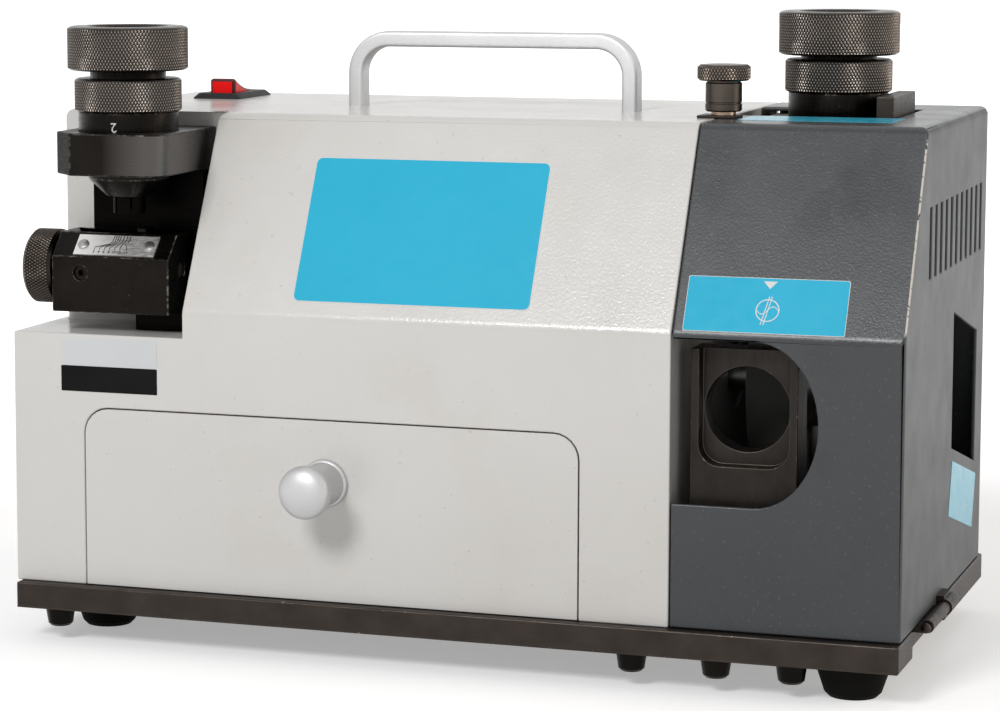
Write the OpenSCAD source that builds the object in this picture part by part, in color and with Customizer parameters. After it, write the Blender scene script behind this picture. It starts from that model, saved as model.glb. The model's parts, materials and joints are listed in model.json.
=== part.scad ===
// Tool and cutter grinder for end mills: sheet housing, hinged wheel cover,
// setting gauge on the left and three collet chuck ports round the wheel.

/* [Base] */
// Width of the base plate
base_w = 310; // [300:1:330]
// Depth of the base plate
base_d = 162; // [160:1:180]
// Thickness of the base plate
base_t = 9; // [6:0.5:14]
// Height of the rubber feet
foot_h = 12; // [8:0.5:16]
// Largest diameter of a rubber foot
foot_d = 26; // [18:0.5:28]

/* [Housing] */
// Height of the housing above the base plate
body_h = 163; // [160:1:180]
// Height of the bend above the base plate, where the front starts to slope
bend_h = 97; // [94:1:110]
// Height of the gauge shelf above the base plate
shelf_h = 88; // [84:1:91]
// How far the sloped front runs back
slope_run = 35; // [28:1:38]
// Thickness of the sheet metal
sheet_t = 1.5; // [1:0.1:2]
// Width of the fixed housing
housing_w = 235; // [234:0.5:236]
// Width of the shelf recess
recess_w = 63.5; // [62:0.5:66]
// Depth of the shelf recess
recess_d = 38; // [37:0.5:42]
// Width of the swinging cover
cover_w = 75.6; // [75:0.1:78]
// Length of the carrying handle
handle_w = 107; // [90:1:120]
// Height of the carrying handle
handle_h = 27; // [24:0.5:40]

/* [Drawer] */
// Width of the drawer front
drawer_w = 178; // [120:1:180]
// Height of the drawer front
drawer_h = 62.5; // [55:0.5:66]
// Depth of the drawer box
drawer_d = 48; // [30:1:50]
// Diameter of the drawer knob
knob_d = 18; // [14:0.5:24]

/* [Chucks] */
// Diameter of the clamping cap
cap_d = 41.4; // [38:0.2:42]
// Height of the clamping cap
cap_h = 15; // [12:0.5:18]
// Diameter of the grip ring
ring_d = 36.8; // [35:0.2:38]
// Height of the grip ring
ring_h = 11.5; // [9:0.5:14]
// Diameter of the index flange
flange_d = 34.3; // [32:0.1:34.6]
// Height of the index flange
flange_h = 9.5; // [8:0.5:11]
// Diameter of the port bores that take a chuck
port_d = 28; // [24:0.5:29]

/* [Grinding unit] */
// Diameter of the grinding wheel
wheel_d = 78; // [60:1:80]
// Thickness of the grinding wheel
wheel_t = 14; // [8:0.5:16]
// Diameter of the motor
motor_d = 72; // [50:1:74]
// Length of the motor body
motor_l = 102; // [70:1:110]
// Diameter of the spindle
spindle_d = 12; // [8:0.5:14]

/* [Gauge] */
// Width of the gauge arm that holds the left chuck
arm_w = 42; // [40:0.5:42]
// Thickness of the gauge arm
arm_t = 14.5; // [10:0.5:15]
// Width of the scale block
block_w = 44; // [42:0.5:46]
// Diameter of the gauge's adjusting knob
gauge_knob_d = 26; // [16:0.5:26]

/* [Hidden] */
$fn = 64;

// Clearances: panel seams, moving faces, running shafts and sliding fits
seam = 0.4;
move_gap = 0.3;
run_gap = 0.05;
slide_gap = 0.1;
// Overshoot of a cut past the face that it breaks through
cut = 1;

// Levels above the floor
base_z = foot_h;
floor_z = base_z + base_t;
shelf_z = floor_z + shelf_h;
bend_z = floor_z + bend_h;
top_z = floor_z + body_h;

// Places measured from the base plate's middle (x) and its front edge (y)
front_set = 4;
back_set = 4;
front_y = front_set;
back_y = base_d - back_set;
left_overhang = 1.5;
housing_x0 = -base_w / 2 - left_overhang;
housing_x1 = housing_x0 + housing_w;
recess_x = housing_x0 + recess_w;
recess_y = front_y + recess_d;
cover_seam = 0.5;
cover_x0 = housing_x1 + cover_seam;
cover_x1 = cover_x0 + cover_w;
edge_r = 4;
// Upper left end behind the shelf, set in from the lower one, and the folds of both end plates
upper_inset = 3.2;
upper_x0 = housing_x0 + upper_inset;
fold_r = 3;
corner_r = 2;
// Outer radius of the bend in the front
bend_r = 6;

// Drawer places
drawer_x0 = -130;
drawer_x1 = drawer_x0 + drawer_w;
drawer_cx = (drawer_x0 + drawer_x1) / 2;
drawer_r = 9;
runner_t = 1;
drawer_side_gap = 3.3;
drawer_box_z = floor_z + runner_t + move_gap;
drawer_box_top = 9;
knob_up = 41;
knob_l = 24;

// Feet and screws under the base
foot_inset_x = 18.2;
foot_front_y = [38, 19];
foot_back_inset = 27;
head_d = 10.5;
head_h = 6.6;
head_taper = 0.9;
shank_d = 5;
screw_inset_y = 7;
screw_xs = [housing_x0 + 15.1, housing_x1 - 13, cover_x0 + 15, cover_x0 + 40];

// Spindle, wheel and ports
spindle_back = 62;
spindle_y = back_y - spindle_back;
spindle_z = floor_z + 71.5;
port_wall = 2.9;
port_block_t = 14;
port_block_y = front_y + 8;
port_pocket_w = port_d + 1.8;
port_x = cover_x0 + 22;
wheel_x0 = port_x - wheel_t / 2 - 3;
hub_d = 34;
hub_t = 5;
spigot_d = 20;
wall_hole_d = spindle_d + 12;
stator_hole_d = spindle_d + 8;
bell_hole_d = spindle_d + 4;
nut_l = 8;
spindle_x1 = wheel_x0 + wheel_t + hub_t + nut_l + 2;
motor_x1 = housing_x1 - 16.5;
motor_x0 = motor_x1 - motor_l;
bell_t = 10;
bearing_d = 28;
bearing_t = 8;
fan_d = 60;
fan_t = 12;
bell_gap = 2;
fan_x0 = motor_x0 - bell_t - bell_gap - fan_t;
column_t = 12;
column_y0 = spindle_y + wheel_d / 2 + 3;
right_axis = [port_x + 10, spindle_y + 10];
seat_z1 = top_z - sheet_t - 0.8;
seat_t = 15;
seat_x0 = cover_x0 + 5;
seat_x1 = seat_x0 + 54;
seat_y0 = right_axis[1] - 22;
side_axis = [spindle_y + 21.5, floor_z + 67];
side_block_x0 = wheel_x0 + wheel_t + hub_t + nut_l + 5;
side_block_t = 12;
side_block_y0 = side_axis[0] - 22.5;
side_block_h = 93;
stop_w = 6;
stop_l = 40;
stop_front = 22;
stop_h = flange_h - move_gap;

// Cover openings
window_h = 54;
window_w = 48;
window_z = floor_z + 68.3;
window_round = 21;
vent_count = 11;
vent_pitch = 9.9;
vent_w = 4;
vent_h = 23.4;
vent_y0 = spindle_y - 50.3;
vent_z0 = floor_z + 113;
slot_y0 = spindle_y - 2;
slot_w = 48;
slot_h = 46.8;
slot_drop = 12;
slot_top_z = floor_z + 96.4;
notch_y0 = right_axis[1] - 26;
notch_y1 = right_axis[1] + 24;
notch_x1 = right_axis[0] + flange_d / 2 + move_gap + stop_w + 1.5;

// Hinge of the cover
hinge_x = cover_x1 + 2.7;
hinge_z = floor_z - 0.9;
pin_d = 2.2;
barrel_d = 4.4;
knuckle_d = 5.6;
barrel_y0 = spindle_y - 58;
barrel_l = 31;
knuckle_l = 13;
knuckle_tab_h = 3;
hinge_notch_y0 = barrel_y0 - 13;
hinge_notch_y1 = barrel_y0 + barrel_l + knuckle_l + 3;
hinge_notch_x = cover_x1 - 2.5;

// Latch of the cover
latch_at = [cover_x0 + 1.1, spindle_y - 30];
latch_head_d = 18;
latch_head_h = 5.4;
latch_body_d = 12.4;
latch_body_l = 10.4;
latch_neck_d = 7.6;
latch_shank_d = 5;
latch_tip_l = 7;
latch_neck_l = 2.2;
latch_plate_t = 1;

// Gauge places
gauge_axis = [recess_x - 2.4 - arm_w / 2, 14];
arm_y0 = gauge_axis[1] - 22;
arm_up = 70.1;
arm_z1 = shelf_z + arm_up;
arm_z0 = arm_z1 - arm_t;
arm_chamfer = 8.6;
arm_round = 8;
arm_recess = 3;
post_t = 12;
post_y0 = recess_y - post_t;
post_foot_w = 22;
post_foot_l = 10;
post_foot_h = 7;
post_notch_h = 13;
block_x1 = recess_x - 6.5;
block_x0 = block_x1 - block_w;
block_y0 = front_y + 4;
block_z0 = shelf_z + 7;
block_h = 27.2;
block_z1 = block_z0 + block_h;
block_chamfer = 8;
slide_w = 6.2;
slide_l = 11;
slide_travel = 5;
slide_y = block_y0 + 12;
finger_w = 3;
finger_l = 8;
finger_h = 1.8;
gauge_screw_d = 6;
gauge_screw_z = block_z0 + 14.5;
slot_floor_z = block_z0 + 8.2;
finger_x = gauge_axis[0] + 2;
slide_x1 = finger_x + finger_w;
gauge_slot_x0 = slide_x1 - slide_l - 13;
gauge_slot_x1 = slide_x1 + slide_travel + 1;
collar_d = 10;
collar_l = 0.4;
gauge_knob_l = 10.5;
gauge_knob_x0 = block_x0 - collar_l - move_gap - gauge_knob_l;
scale_w = 30.2;
scale_t = 0.6;
scale_margin = 0.8;
scale_top = 1.7;
rivet_d = 4;
rivet_h = 0.8;
rivet_inset = 2.7;
set_screw_d = 5;
set_screw_l = 5;

// Chuck inner sizes
sleeve_d = port_d - 2 * run_gap;
sleeve_out = 2;
sleeve_l = arm_t - arm_recess + sleeve_out;
nose_l = 6;
nose_d = 15.4;
neck_d = 26;
neck_in_cap = 8;
drawbar_d = 12;
chuck_bore_d = drawbar_d + 2 * run_gap;
collet_d = 11;
collet_l = 17;
collet_out = 6;
collet_z0 = -sleeve_l - nose_l - collet_out;
collet_z1 = collet_z0 + collet_l;
tool_d = 8;
cap_gap_left = 2.7;
cap_gap_right = 1.4;
chuck_bevel = 1;
cap_cup_d = 27;
cap_cup_h = 2.5;

// Switch places and sizes
switch_at = [housing_x0 + 31.2, back_y - 27.8];
bezel_w = 19;
bezel_l = 34;
bezel_t = 2;
rocker_w = 10;
rocker_l = 22;
rocker_up = 5.2;
switch_body_h = 14;
pivot_d = 2;
pivot_l = 1.5;
switch_wall = 2;
switch_floor = 3;

// Rear panel, inlet and the pieces behind it
panel_lip = 9;
panel_x0 = upper_x0 + sheet_t + seam;
panel_x1 = housing_x1 - sheet_t - seam;
inlet_at = [housing_x0 + 40, floor_z + 32];
inlet_w = 30;
inlet_h = 22;
inlet_l = 20;
inlet_rim = 4;
inlet_rim_t = 2.5;

// Handle section and place
handle_t = 5.6;
handle_dep = 8.6;
handle_r = 15;
handle_cx = housing_x0 + 146.8;
handle_y = spindle_y - 4;

// The origin is the middle of the whole machine's outline on the floor
reach_x0 = min(housing_x0, gauge_knob_x0);
reach_x1 = hinge_x + knuckle_d / 2;
reach_y0 = front_y - knob_l;
reach_y1 = max(base_d, back_y + inlet_rim_t);
centre_x = (reach_x0 + reach_x1) / 2;
centre_y = (reach_y0 + reach_y1) / 2;

// Colours
white = [0.86, 0.85, 0.83];
grey = [0.36, 0.38, 0.40];
black = [0.16, 0.15, 0.14];
brown = [0.28, 0.25, 0.23];
steel = [0.66, 0.66, 0.66];
silver = [0.80, 0.80, 0.80];
red = [0.85, 0.08, 0.06];
rubber = [0.07, 0.07, 0.07];

// Moves the machine so that its outline is centred on the origin
module placed() {
    translate([-centre_x, -centre_y, 0]) children();
}

// Points of an arc from angle a0 to a1
function arc(c, r, a0, a1, n = 6) =
    [for (i = [0:n]) let (a = a0 + (a1 - a0) * i / n) c + r * [cos(a), sin(a)]];

// Box between two corners
module block(lo, hi) {
    translate(lo) cube(hi - lo);
}

// Cylinder along +X and along +Y
module x_rod(at, d, l) {
    translate(at) rotate([0, 90, 0]) cylinder(d = d, h = l);
}
module y_rod(at, d, l) {
    translate(at) rotate([-90, 0, 0]) cylinder(d = d, h = l);
}

// Extrudes a (y, z) outline along X between two planes
module x_slab(x0, x1) {
    translate([x0, 0, 0]) rotate([90, 0, 90]) linear_extrude(x1 - x0) children();
}

// Turned piece with bevelled rims, standing on z
module bevelled(d, h, b) {
    rotate_extrude() polygon([[0, 0], [d / 2 - b, 0], [d / 2, b], [d / 2, h - b], [d / 2 - b, h], [0, h]]);
}

slope_a = atan2(slope_run, top_z - bend_z);

// Side outline of the housing and cover, drawn in by a wall
module body_outline(wall, z0) {
    ztop = top_z - wall;
    r = edge_r - min(wall, edge_r - 1);
    ya = front_y + wall;
    rb = bend_r - wall;
    zb = bend_z - wall * tan(slope_a / 2) - rb * tan(slope_a / 2);
    yb = front_y + slope_run + wall * tan((90 - slope_a) / 2);
    tangent = r * tan((90 - slope_a) / 2);
    polygon(concat(
        [[ya, z0]],
        arc([ya + rb, zb], rb, 180, 180 - slope_a),
        arc([yb + tangent, ztop - r], r, 180 - slope_a, 90),
        [[back_y - wall, ztop], [back_y - wall, z0]]));
}

// Keeps what lies below a top and between two walls, its upper corners folded with radii r0 and r1
module folded(x0, x1, z0, z1, r0, r1) {
    left = r0 > 0 ? arc([x0 + r0, z1 - r0], r0, 180, 90, 10) : [[x0, z1]];
    right = r1 > 0 ? arc([x1 - r1, z1 - r1], r1, 90, 0, 10) : [[x1, z1]];
    translate([0, back_y + cut, 0]) rotate([90, 0, 0]) linear_extrude(back_y - front_y + 2 * cut)
        polygon(concat([[x0, z0]], left, right, [[x1, z0]]));
}

// Form of the cover, drawn in by a wall, open on its left side
module cover_form(x0, wall, z0) {
    x1 = cover_x1 - wall;
    y0 = front_y + wall;
    y1 = back_y - wall;
    r = corner_r - wall;
    intersection() {
        x_slab(x0, x1) body_outline(wall, z0);
        folded(x0 - cut, x1, z0 - cut, top_z - wall, 0, fold_r - wall);
        translate([0, 0, z0 - cut]) linear_extrude(top_z - z0 + 2 * cut) polygon(concat([[x0 - cut, y0]],
            arc([x1 - r, y0 + r], r, 270, 360), arc([x1 - r, y1 - r], r, 0, 90), [[x0 - cut, y1]]));
    }
}

module base_plate() {
    color(brown) placed() difference() {
        block([-base_w / 2, 0, base_z], [base_w / 2, base_d, floor_z]);
        block([hinge_notch_x, hinge_notch_y0, base_z - cut],
            [base_w / 2 + cut, hinge_notch_y1, floor_z + cut]);
        foot_places() translate([0, 0, base_z - cut]) cylinder(d = shank_d, h = base_t + 2 * cut);
        screw_places() translate([0, 0, base_z - cut]) cylinder(d = shank_d, h = base_t + 2 * cut);
    }
}

// Runs its children at each foot and at each screw under the base
module foot_places() {
    for (side = [0, 1], y = [foot_front_y[side], base_d - foot_back_inset])
        translate([(2 * side - 1) * (base_w / 2 - foot_inset_x), y, 0]) children();
}
module screw_places() {
    for (x = screw_xs, y = [screw_inset_y, base_d - screw_inset_y]) translate([x, y, 0]) children();
}

foot_taper = 3.6;
foot_rim = 1.5;
foot_pocket_d = 0.42 * foot_d;
foot_pocket_h = 4;

module rubber_feet() {
    color(rubber) placed() foot_places() {
        difference() {
            rotate_extrude() polygon([[0, 0], [foot_d / 2 - foot_taper - foot_rim, 0],
                [foot_d / 2 - foot_taper, foot_rim], [foot_d / 2, foot_h], [0, foot_h]]);
            translate([0, 0, -cut]) cylinder(d = foot_pocket_d, h = foot_pocket_h + cut);
            translate([0, 0, -cut]) cylinder(d = shank_d, h = foot_h + 2 * cut);
        }
        translate([0, 0, foot_pocket_h]) cylinder(d = shank_d, h = base_z + base_t - foot_pocket_h);
    }
}

module base_screws() {
    color(black) placed() screw_places() difference() {
        union() {
            translate([0, 0, base_z - head_h]) rotate_extrude() polygon([[0, 0],
                [head_d / 2 - 2 * head_taper, 0], [head_d / 2 - head_taper, head_taper],
                [head_d / 2, head_h], [0, head_h]]);
            translate([0, 0, base_z]) cylinder(d = shank_d, h = base_t);
        }
        translate([0, 0, base_z - head_h - cut]) cylinder(d = shank_d, h = head_h / 2 + cut, $fn = 6);
    }
}

// Outer and inner forms of the left end, below the shelf and behind the recess
module left_end(wall, z0, x1) {
    block([housing_x0 + wall, front_y + wall, z0], [x1, back_y - wall, shelf_z - wall]);
    intersection() {
        block([upper_x0 + wall, recess_y + wall, z0], [x1, back_y - wall, top_z - wall]);
        folded(upper_x0 + wall, x1 + cut, z0 - cut, top_z - wall, fold_r - wall, 0);
    }
}

module main_housing() {
    color(white) placed() difference() {
        union() {
            intersection() {
                x_slab(recess_x, housing_x1) body_outline(0, floor_z);
                folded(recess_x, housing_x1 + cut, floor_z - cut, top_z, fold_r, 0);
            }
            left_end(0, floor_z, recess_x + fold_r + cut);
        }
        intersection() {
            x_slab(recess_x + sheet_t, housing_x1 - sheet_t) body_outline(sheet_t, floor_z - cut);
            folded(recess_x + sheet_t, housing_x1, floor_z - 2 * cut, top_z - sheet_t, fold_r - sheet_t, 0);
        }
        left_end(sheet_t, floor_z - cut, recess_x + sheet_t);
        block([recess_x, front_y + sheet_t, floor_z - cut],
            [recess_x + sheet_t + cut, back_y - sheet_t, shelf_z - sheet_t]);
        block([recess_x, recess_y + sheet_t, floor_z - cut],
            [recess_x + fold_r + cut, back_y - sheet_t, top_z - sheet_t]);
        translate([0, front_y + sheet_t + cut, 0]) rotate([90, 0, 0])
            linear_extrude(sheet_t + 2 * cut) drawer_outline(0, floor_z - cut);
        block([panel_x0 + panel_lip, back_y - sheet_t - cut, floor_z - cut],
            [panel_x1 - panel_lip, back_y + cut, top_z - sheet_t - panel_lip]);
        panel_screw_places() cylinder(d = panel_screw_d, h = sheet_t + panel_t + 2 * cut);
        switch_hole(slide_gap);
        x_rod([housing_x1 - sheet_t - cut, spindle_y, spindle_z], wall_hole_d, sheet_t + 2 * cut);
        handle_places() translate([0, 0, top_z - sheet_t - cut])
            cylinder(d = handle_screw_d, h = sheet_t + 2 * cut);
        translate([latch_at[0], latch_at[1], top_z - latch_tip_l - cut])
            cylinder(d = latch_shank_d + 2 * move_gap, h = latch_tip_l + 2 * cut);
    }
}

// Front outline of the drawer opening in (x, z), drawn in by a gap at the sides and top
module drawer_outline(gap, z0) {
    x0 = drawer_x0 + gap;
    x1 = drawer_x1 - gap;
    z1 = floor_z + drawer_h - gap;
    r = drawer_r - gap;
    polygon(concat([[x0, z0]], arc([x0 + r, z1 - r], r, 180, 90),
        arc([x1 - r, z1 - r], r, 90, 0), [[x1, z0]]));
}

panel_screw_d = 3;
panel_t = 1.5;
panel_screw_head_d = 6;
panel_screw_head_h = 2;

// Runs its children at each screw of the rear panel, along +Y from behind the panel
module panel_screw_places() {
    for (x = [panel_x0 + panel_lip / 2, panel_x1 - panel_lip / 2], z = [floor_z + 20, top_z - 30])
        translate([x, back_y - sheet_t - panel_t - cut, z]) rotate([-90, 0, 0]) children();
}

panel_vents = 8;
panel_vent_pitch = 9;
panel_vent_h = 50;

module rear_panel() {
    color(white) placed() difference() {
        block([panel_x0, back_y - sheet_t - panel_t, floor_z],
            [panel_x1, back_y - sheet_t, top_z - sheet_t - seam]);
        panel_screw_places() cylinder(d = panel_screw_d, h = sheet_t + panel_t + 2 * cut);
        block([inlet_at[0] - inlet_w / 2, back_y - sheet_t - panel_t - cut, inlet_at[1] - inlet_h / 2],
            [inlet_at[0] + inlet_w / 2, back_y, inlet_at[1] + inlet_h / 2]);
        for (i = [0:panel_vents - 1])
            block([motor_x0 + i * panel_vent_pitch, back_y - sheet_t - panel_t - cut,
                    spindle_z - panel_vent_h / 2],
                [motor_x0 + i * panel_vent_pitch + vent_w, back_y, spindle_z + panel_vent_h / 2]);
    }
}

module panel_screws() {
    color(steel) placed() panel_screw_places() translate([0, 0, cut]) {
        cylinder(d = panel_screw_d, h = panel_t + sheet_t);
        translate([0, 0, panel_t + sheet_t]) cylinder(d = panel_screw_head_d, h = panel_screw_head_h);
    }
}

inlet_wall = 2;
inlet_depth = 15;
blade_w = 2;
blade_h = 4;
blade_l = 17;
blade_pitch = 7;

module power_inlet() {
    color(black) placed() translate([inlet_at[0], back_y - sheet_t, inlet_at[1]]) difference() {
        union() {
            block([-inlet_w / 2 - inlet_rim, 0, -inlet_h / 2 - inlet_rim],
                [inlet_w / 2 + inlet_rim, sheet_t + inlet_rim_t, inlet_h / 2 + inlet_rim]);
            block([-inlet_w / 2, -inlet_l, -inlet_h / 2], [inlet_w / 2, 0, inlet_h / 2]);
        }
        difference() {
            block([-inlet_w / 2 + inlet_wall, sheet_t + inlet_rim_t - inlet_depth, -inlet_h / 2 + inlet_wall],
                [inlet_w / 2 - inlet_wall, sheet_t + inlet_rim_t + cut, inlet_h / 2 - inlet_wall]);
            for (x = [-blade_pitch, 0, blade_pitch])
                block([x - blade_w / 2, -inlet_l, -blade_h / 2],
                    [x + blade_w / 2, -inlet_l + blade_l, blade_h / 2]);
        }
    }
}

// Runs its children under each foot of the handle
module handle_places() {
    for (s = [-1, 1]) translate([handle_cx + s * (handle_w - handle_t) / 2, handle_y, 0]) children();
}

handle_screw_d = 3;
handle_screw_l = 7;
handle_screw_head_h = 3;

module carry_handle() {
    module arch(w, h, r) {
        polygon(concat([[-w / 2, 0]], arc([-w / 2 + r, h - r], r, 180, 90), arc([w / 2 - r, h - r], r, 90, 0),
            [[w / 2, 0]]));
    }
    color(silver) placed() difference() {
        translate([handle_cx, handle_y + handle_dep / 2, top_z]) rotate([90, 0, 0])
            linear_extrude(handle_dep) difference() {
                arch(handle_w, handle_h, handle_r);
                translate([0, -cut])
                    arch(handle_w - 2 * handle_t, handle_h - handle_t + cut, handle_r - handle_t);
            }
        handle_places() translate([0, 0, top_z - cut])
            cylinder(d = handle_screw_d, h = handle_screw_l + 2 * cut);
    }
}

module handle_screws() {
    color(steel) placed() handle_places() {
        translate([0, 0, top_z - sheet_t - handle_screw_head_h])
            cylinder(d = head_d, h = handle_screw_head_h);
        translate([0, 0, top_z - sheet_t]) cylinder(d = handle_screw_d, h = sheet_t + handle_screw_l);
    }
}

// Hole in the housing top for the switch body
module switch_hole(gap) {
    translate([switch_at[0], switch_at[1], 0])
        block([-rocker_w / 2 - switch_wall - gap, -rocker_l / 2 - switch_wall - gap, top_z - sheet_t - cut],
            [rocker_w / 2 + switch_wall + gap, rocker_l / 2 + switch_wall + gap, top_z + cut]);
}

module switch_bezel() {
    color(black) placed() translate([switch_at[0], switch_at[1], top_z]) difference() {
        union() {
            block([-bezel_w / 2, -bezel_l / 2, 0], [bezel_w / 2, bezel_l / 2, bezel_t]);
            block([-rocker_w / 2 - switch_wall, -rocker_l / 2 - switch_wall, -switch_body_h],
                [rocker_w / 2 + switch_wall, rocker_l / 2 + switch_wall, 0]);
        }
        block([-rocker_w / 2 - move_gap, -rocker_l / 2 - move_gap, -switch_body_h + switch_floor],
            [rocker_w / 2 + move_gap, rocker_l / 2 + move_gap, bezel_t + cut]);
        x_rod([-rocker_w / 2 - pivot_l - move_gap, 0, 0], pivot_d + 2 * run_gap,
            rocker_w + 2 * pivot_l + 2 * move_gap);
    }
}

module switch_rocker() {
    color(red) placed() translate([switch_at[0], switch_at[1], top_z]) {
        x_slab(-rocker_w / 2, rocker_w / 2) polygon(concat(
            [[-rocker_l / 2 + 1.2, -2], [-rocker_l / 2 + 0.9, bezel_t + rocker_up],
                [-rocker_l / 2 + 2.5, bezel_t + rocker_up]],
            [for (i = [1:6]) let (u = i / 6)
                [-rocker_l / 2 + 2.5 + u * (rocker_l - 4.5),
                    bezel_t + 0.6 + (rocker_up - 0.6) * (1 - u) * (1 - u)]],
            [[rocker_l / 2 - 1.6, -2], [0, -4]]));
        x_rod([-rocker_w / 2 - pivot_l, 0, 0], pivot_d, rocker_w + 2 * pivot_l);
    }
}

box_x0 = drawer_x0 + drawer_side_gap;
box_x1 = drawer_x1 - drawer_side_gap;
box_y0 = front_y + sheet_t;
box_y1 = box_y0 + drawer_d;
box_z1 = floor_z + drawer_h - drawer_box_top;

// Tray with a floor, two sides and a back: the drawer front closes its open end
module drawer_box() {
    color(steel) placed() difference() {
        block([box_x0, box_y0, drawer_box_z], [box_x1, box_y1, box_z1]);
        block([box_x0 + sheet_t, box_y0 - cut, drawer_box_z + sheet_t],
            [box_x1 - sheet_t, box_y1 - sheet_t, box_z1 + cut]);
    }
}

module drawer_front() {
    color(white) placed() difference() {
        translate([0, front_y + sheet_t, 0]) rotate([90, 0, 0])
            linear_extrude(sheet_t) drawer_outline(seam, floor_z + move_gap);
        y_rod([drawer_cx, front_y - cut, floor_z + knob_up], knob_screw_d, sheet_t + 2 * cut);
    }
}

knob_screw_d = 4;
knob_foot_d = 16.4;
knob_foot_h = 2.4;
knob_stem_d = 13.4;
knob_screw_head_d = 8;
knob_screw_head_h = 2.5;

module drawer_knob() {
    head_r = knob_d / 2;
    foot_r = knob_foot_d / 2;
    stem_r = knob_stem_d / 2;
    dome = knob_d * 0.16;
    head_z = knob_l - 8;
    color(silver) placed() translate([drawer_cx, front_y, floor_z + knob_up]) rotate([90, 0, 0]) {
        rotate_extrude() polygon(concat(
            [[0, 0], [foot_r, 0], [foot_r, knob_foot_h * 0.6], [foot_r - 0.8, knob_foot_h]],
            [for (i = [0:6]) let (u = i / 6)
                [stem_r + (foot_r - 0.8 - stem_r) * (1 - u) * (1 - u),
                    knob_foot_h + 0.4 + u * (head_z - knob_foot_h - 1.4)]],
            [[head_r * 0.85, head_z + 0.6], [head_r, head_z + 2.2], [head_r, knob_l - dome - 1.2]],
            [for (i = [0:6]) let (u = i / 6)
                [head_r * 0.92 * cos(90 * u), knob_l - dome + dome * sin(90 * u)]]));
        translate([0, 0, -sheet_t]) cylinder(d = knob_screw_d, h = sheet_t);
        translate([0, 0, -sheet_t - knob_screw_head_h])
            cylinder(d = knob_screw_head_d, h = knob_screw_head_h);
    }
}

runner_w = 8;
runner_lip = 2;

module drawer_runners() {
    color(steel) placed() for (s = [0, 1]) {
        x = s == 0 ? box_x0 : box_x1;
        dir = s == 0 ? 1 : -1;
        xs = [x - dir * (move_gap + runner_lip), x + dir * runner_w];
        block([min(xs), box_y0 + 1, floor_z], [max(xs), box_y1 + 2, floor_z + runner_t]);
        lip = [x - dir * (move_gap + runner_lip), x - dir * move_gap];
        block([min(lip), box_y0 + 1, floor_z + runner_t], [max(lip), box_y1 + 2, floor_z + 14]);
    }
}

module gauge_post() {
    x0 = gauge_axis[0] - arm_w / 2;
    x1 = gauge_axis[0] + arm_w / 2;
    color(black) placed() {
        difference() {
            block([x0, post_y0, shelf_z], [x1, recess_y, arm_z0]);
            block([x0 - cut, post_y0 - cut, shelf_z - cut],
                [x1 - post_foot_w, recess_y + cut, shelf_z + post_notch_h]);
        }
        block([x1 - post_foot_w, post_y0 - post_foot_l, shelf_z], [x1, post_y0, shelf_z + post_foot_h]);
    }
}

module gauge_arm() {
    x0 = gauge_axis[0] - arm_w / 2;
    x1 = gauge_axis[0] + arm_w / 2;
    color(black) placed() difference() {
        translate([0, 0, arm_z0]) linear_extrude(arm_t) polygon(concat(
            [[x0 + arm_chamfer, arm_y0]],
            arc([x1 - arm_round, arm_y0 + arm_round], arm_round, 270, 360, 12),
            [[x1, recess_y], [x0, recess_y], [x0, arm_y0 + arm_chamfer]]));
        translate([gauge_axis[0], gauge_axis[1], arm_z0 - cut]) cylinder(d = port_d, h = arm_t + 2 * cut);
        translate([gauge_axis[0], gauge_axis[1], arm_z1 - arm_recess])
            cylinder(d = flange_d + 2 * slide_gap, h = arm_recess + cut);
    }
}

module scale_block() {
    color(black) placed() difference() {
        x_slab(block_x0, block_x1) polygon([[block_y0, block_z0], [block_y0, block_z1 - block_chamfer],
            [block_y0 + block_chamfer, block_z1], [post_y0, block_z1], [post_y0, block_z0]]);
        block([gauge_slot_x0, slide_y - slide_w / 2 - slide_gap, slot_floor_z],
            [gauge_slot_x1, slide_y + slide_w / 2 + slide_gap, block_z1 + cut]);
        x_rod([block_x0 - cut, slide_y, gauge_screw_z], gauge_screw_d + 2 * run_gap, block_w + 2 * cut);
        y_rod([set_screw_x, block_y0 - cut, set_screw_z], set_screw_d, set_screw_l + 1 + cut);
    }
}

set_screw_x = block_x0 + 10.8;
set_screw_z = block_z0 + 13.6;

module set_screw() {
    color(black) placed() difference() {
        y_rod([set_screw_x, block_y0 + 1, set_screw_z], set_screw_d, set_screw_l);
        translate([set_screw_x, block_y0, set_screw_z]) rotate([-90, 0, 0])
            cylinder(d = set_screw_d / 2, h = 3, $fn = 6);
    }
}

scale_x0 = block_x0 + 8.1;
chamfer_l = block_chamfer * sqrt(2);

// Lays its children on the sloped face of the scale block: x along the block, y up the slope
module on_slope() {
    translate([scale_x0, block_y0, block_z1 - block_chamfer]) rotate([45, 0, 0]) children();
}

// Runs its children at each rivet of the scale plate
module rivet_places() {
    for (x = [rivet_inset, scale_w - rivet_inset])
        translate([x, (chamfer_l + scale_margin - scale_top) / 2, 0]) children();
}

module scale_plate() {
    color(silver) placed() on_slope()
        block([0, scale_margin, 0], [scale_w, chamfer_l - scale_top, scale_t]);
}

module scale_rivets() {
    color(steel) placed() on_slope() rivet_places()
        translate([0, 0, scale_t]) cylinder(d = rivet_d, h = rivet_h);
}

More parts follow.
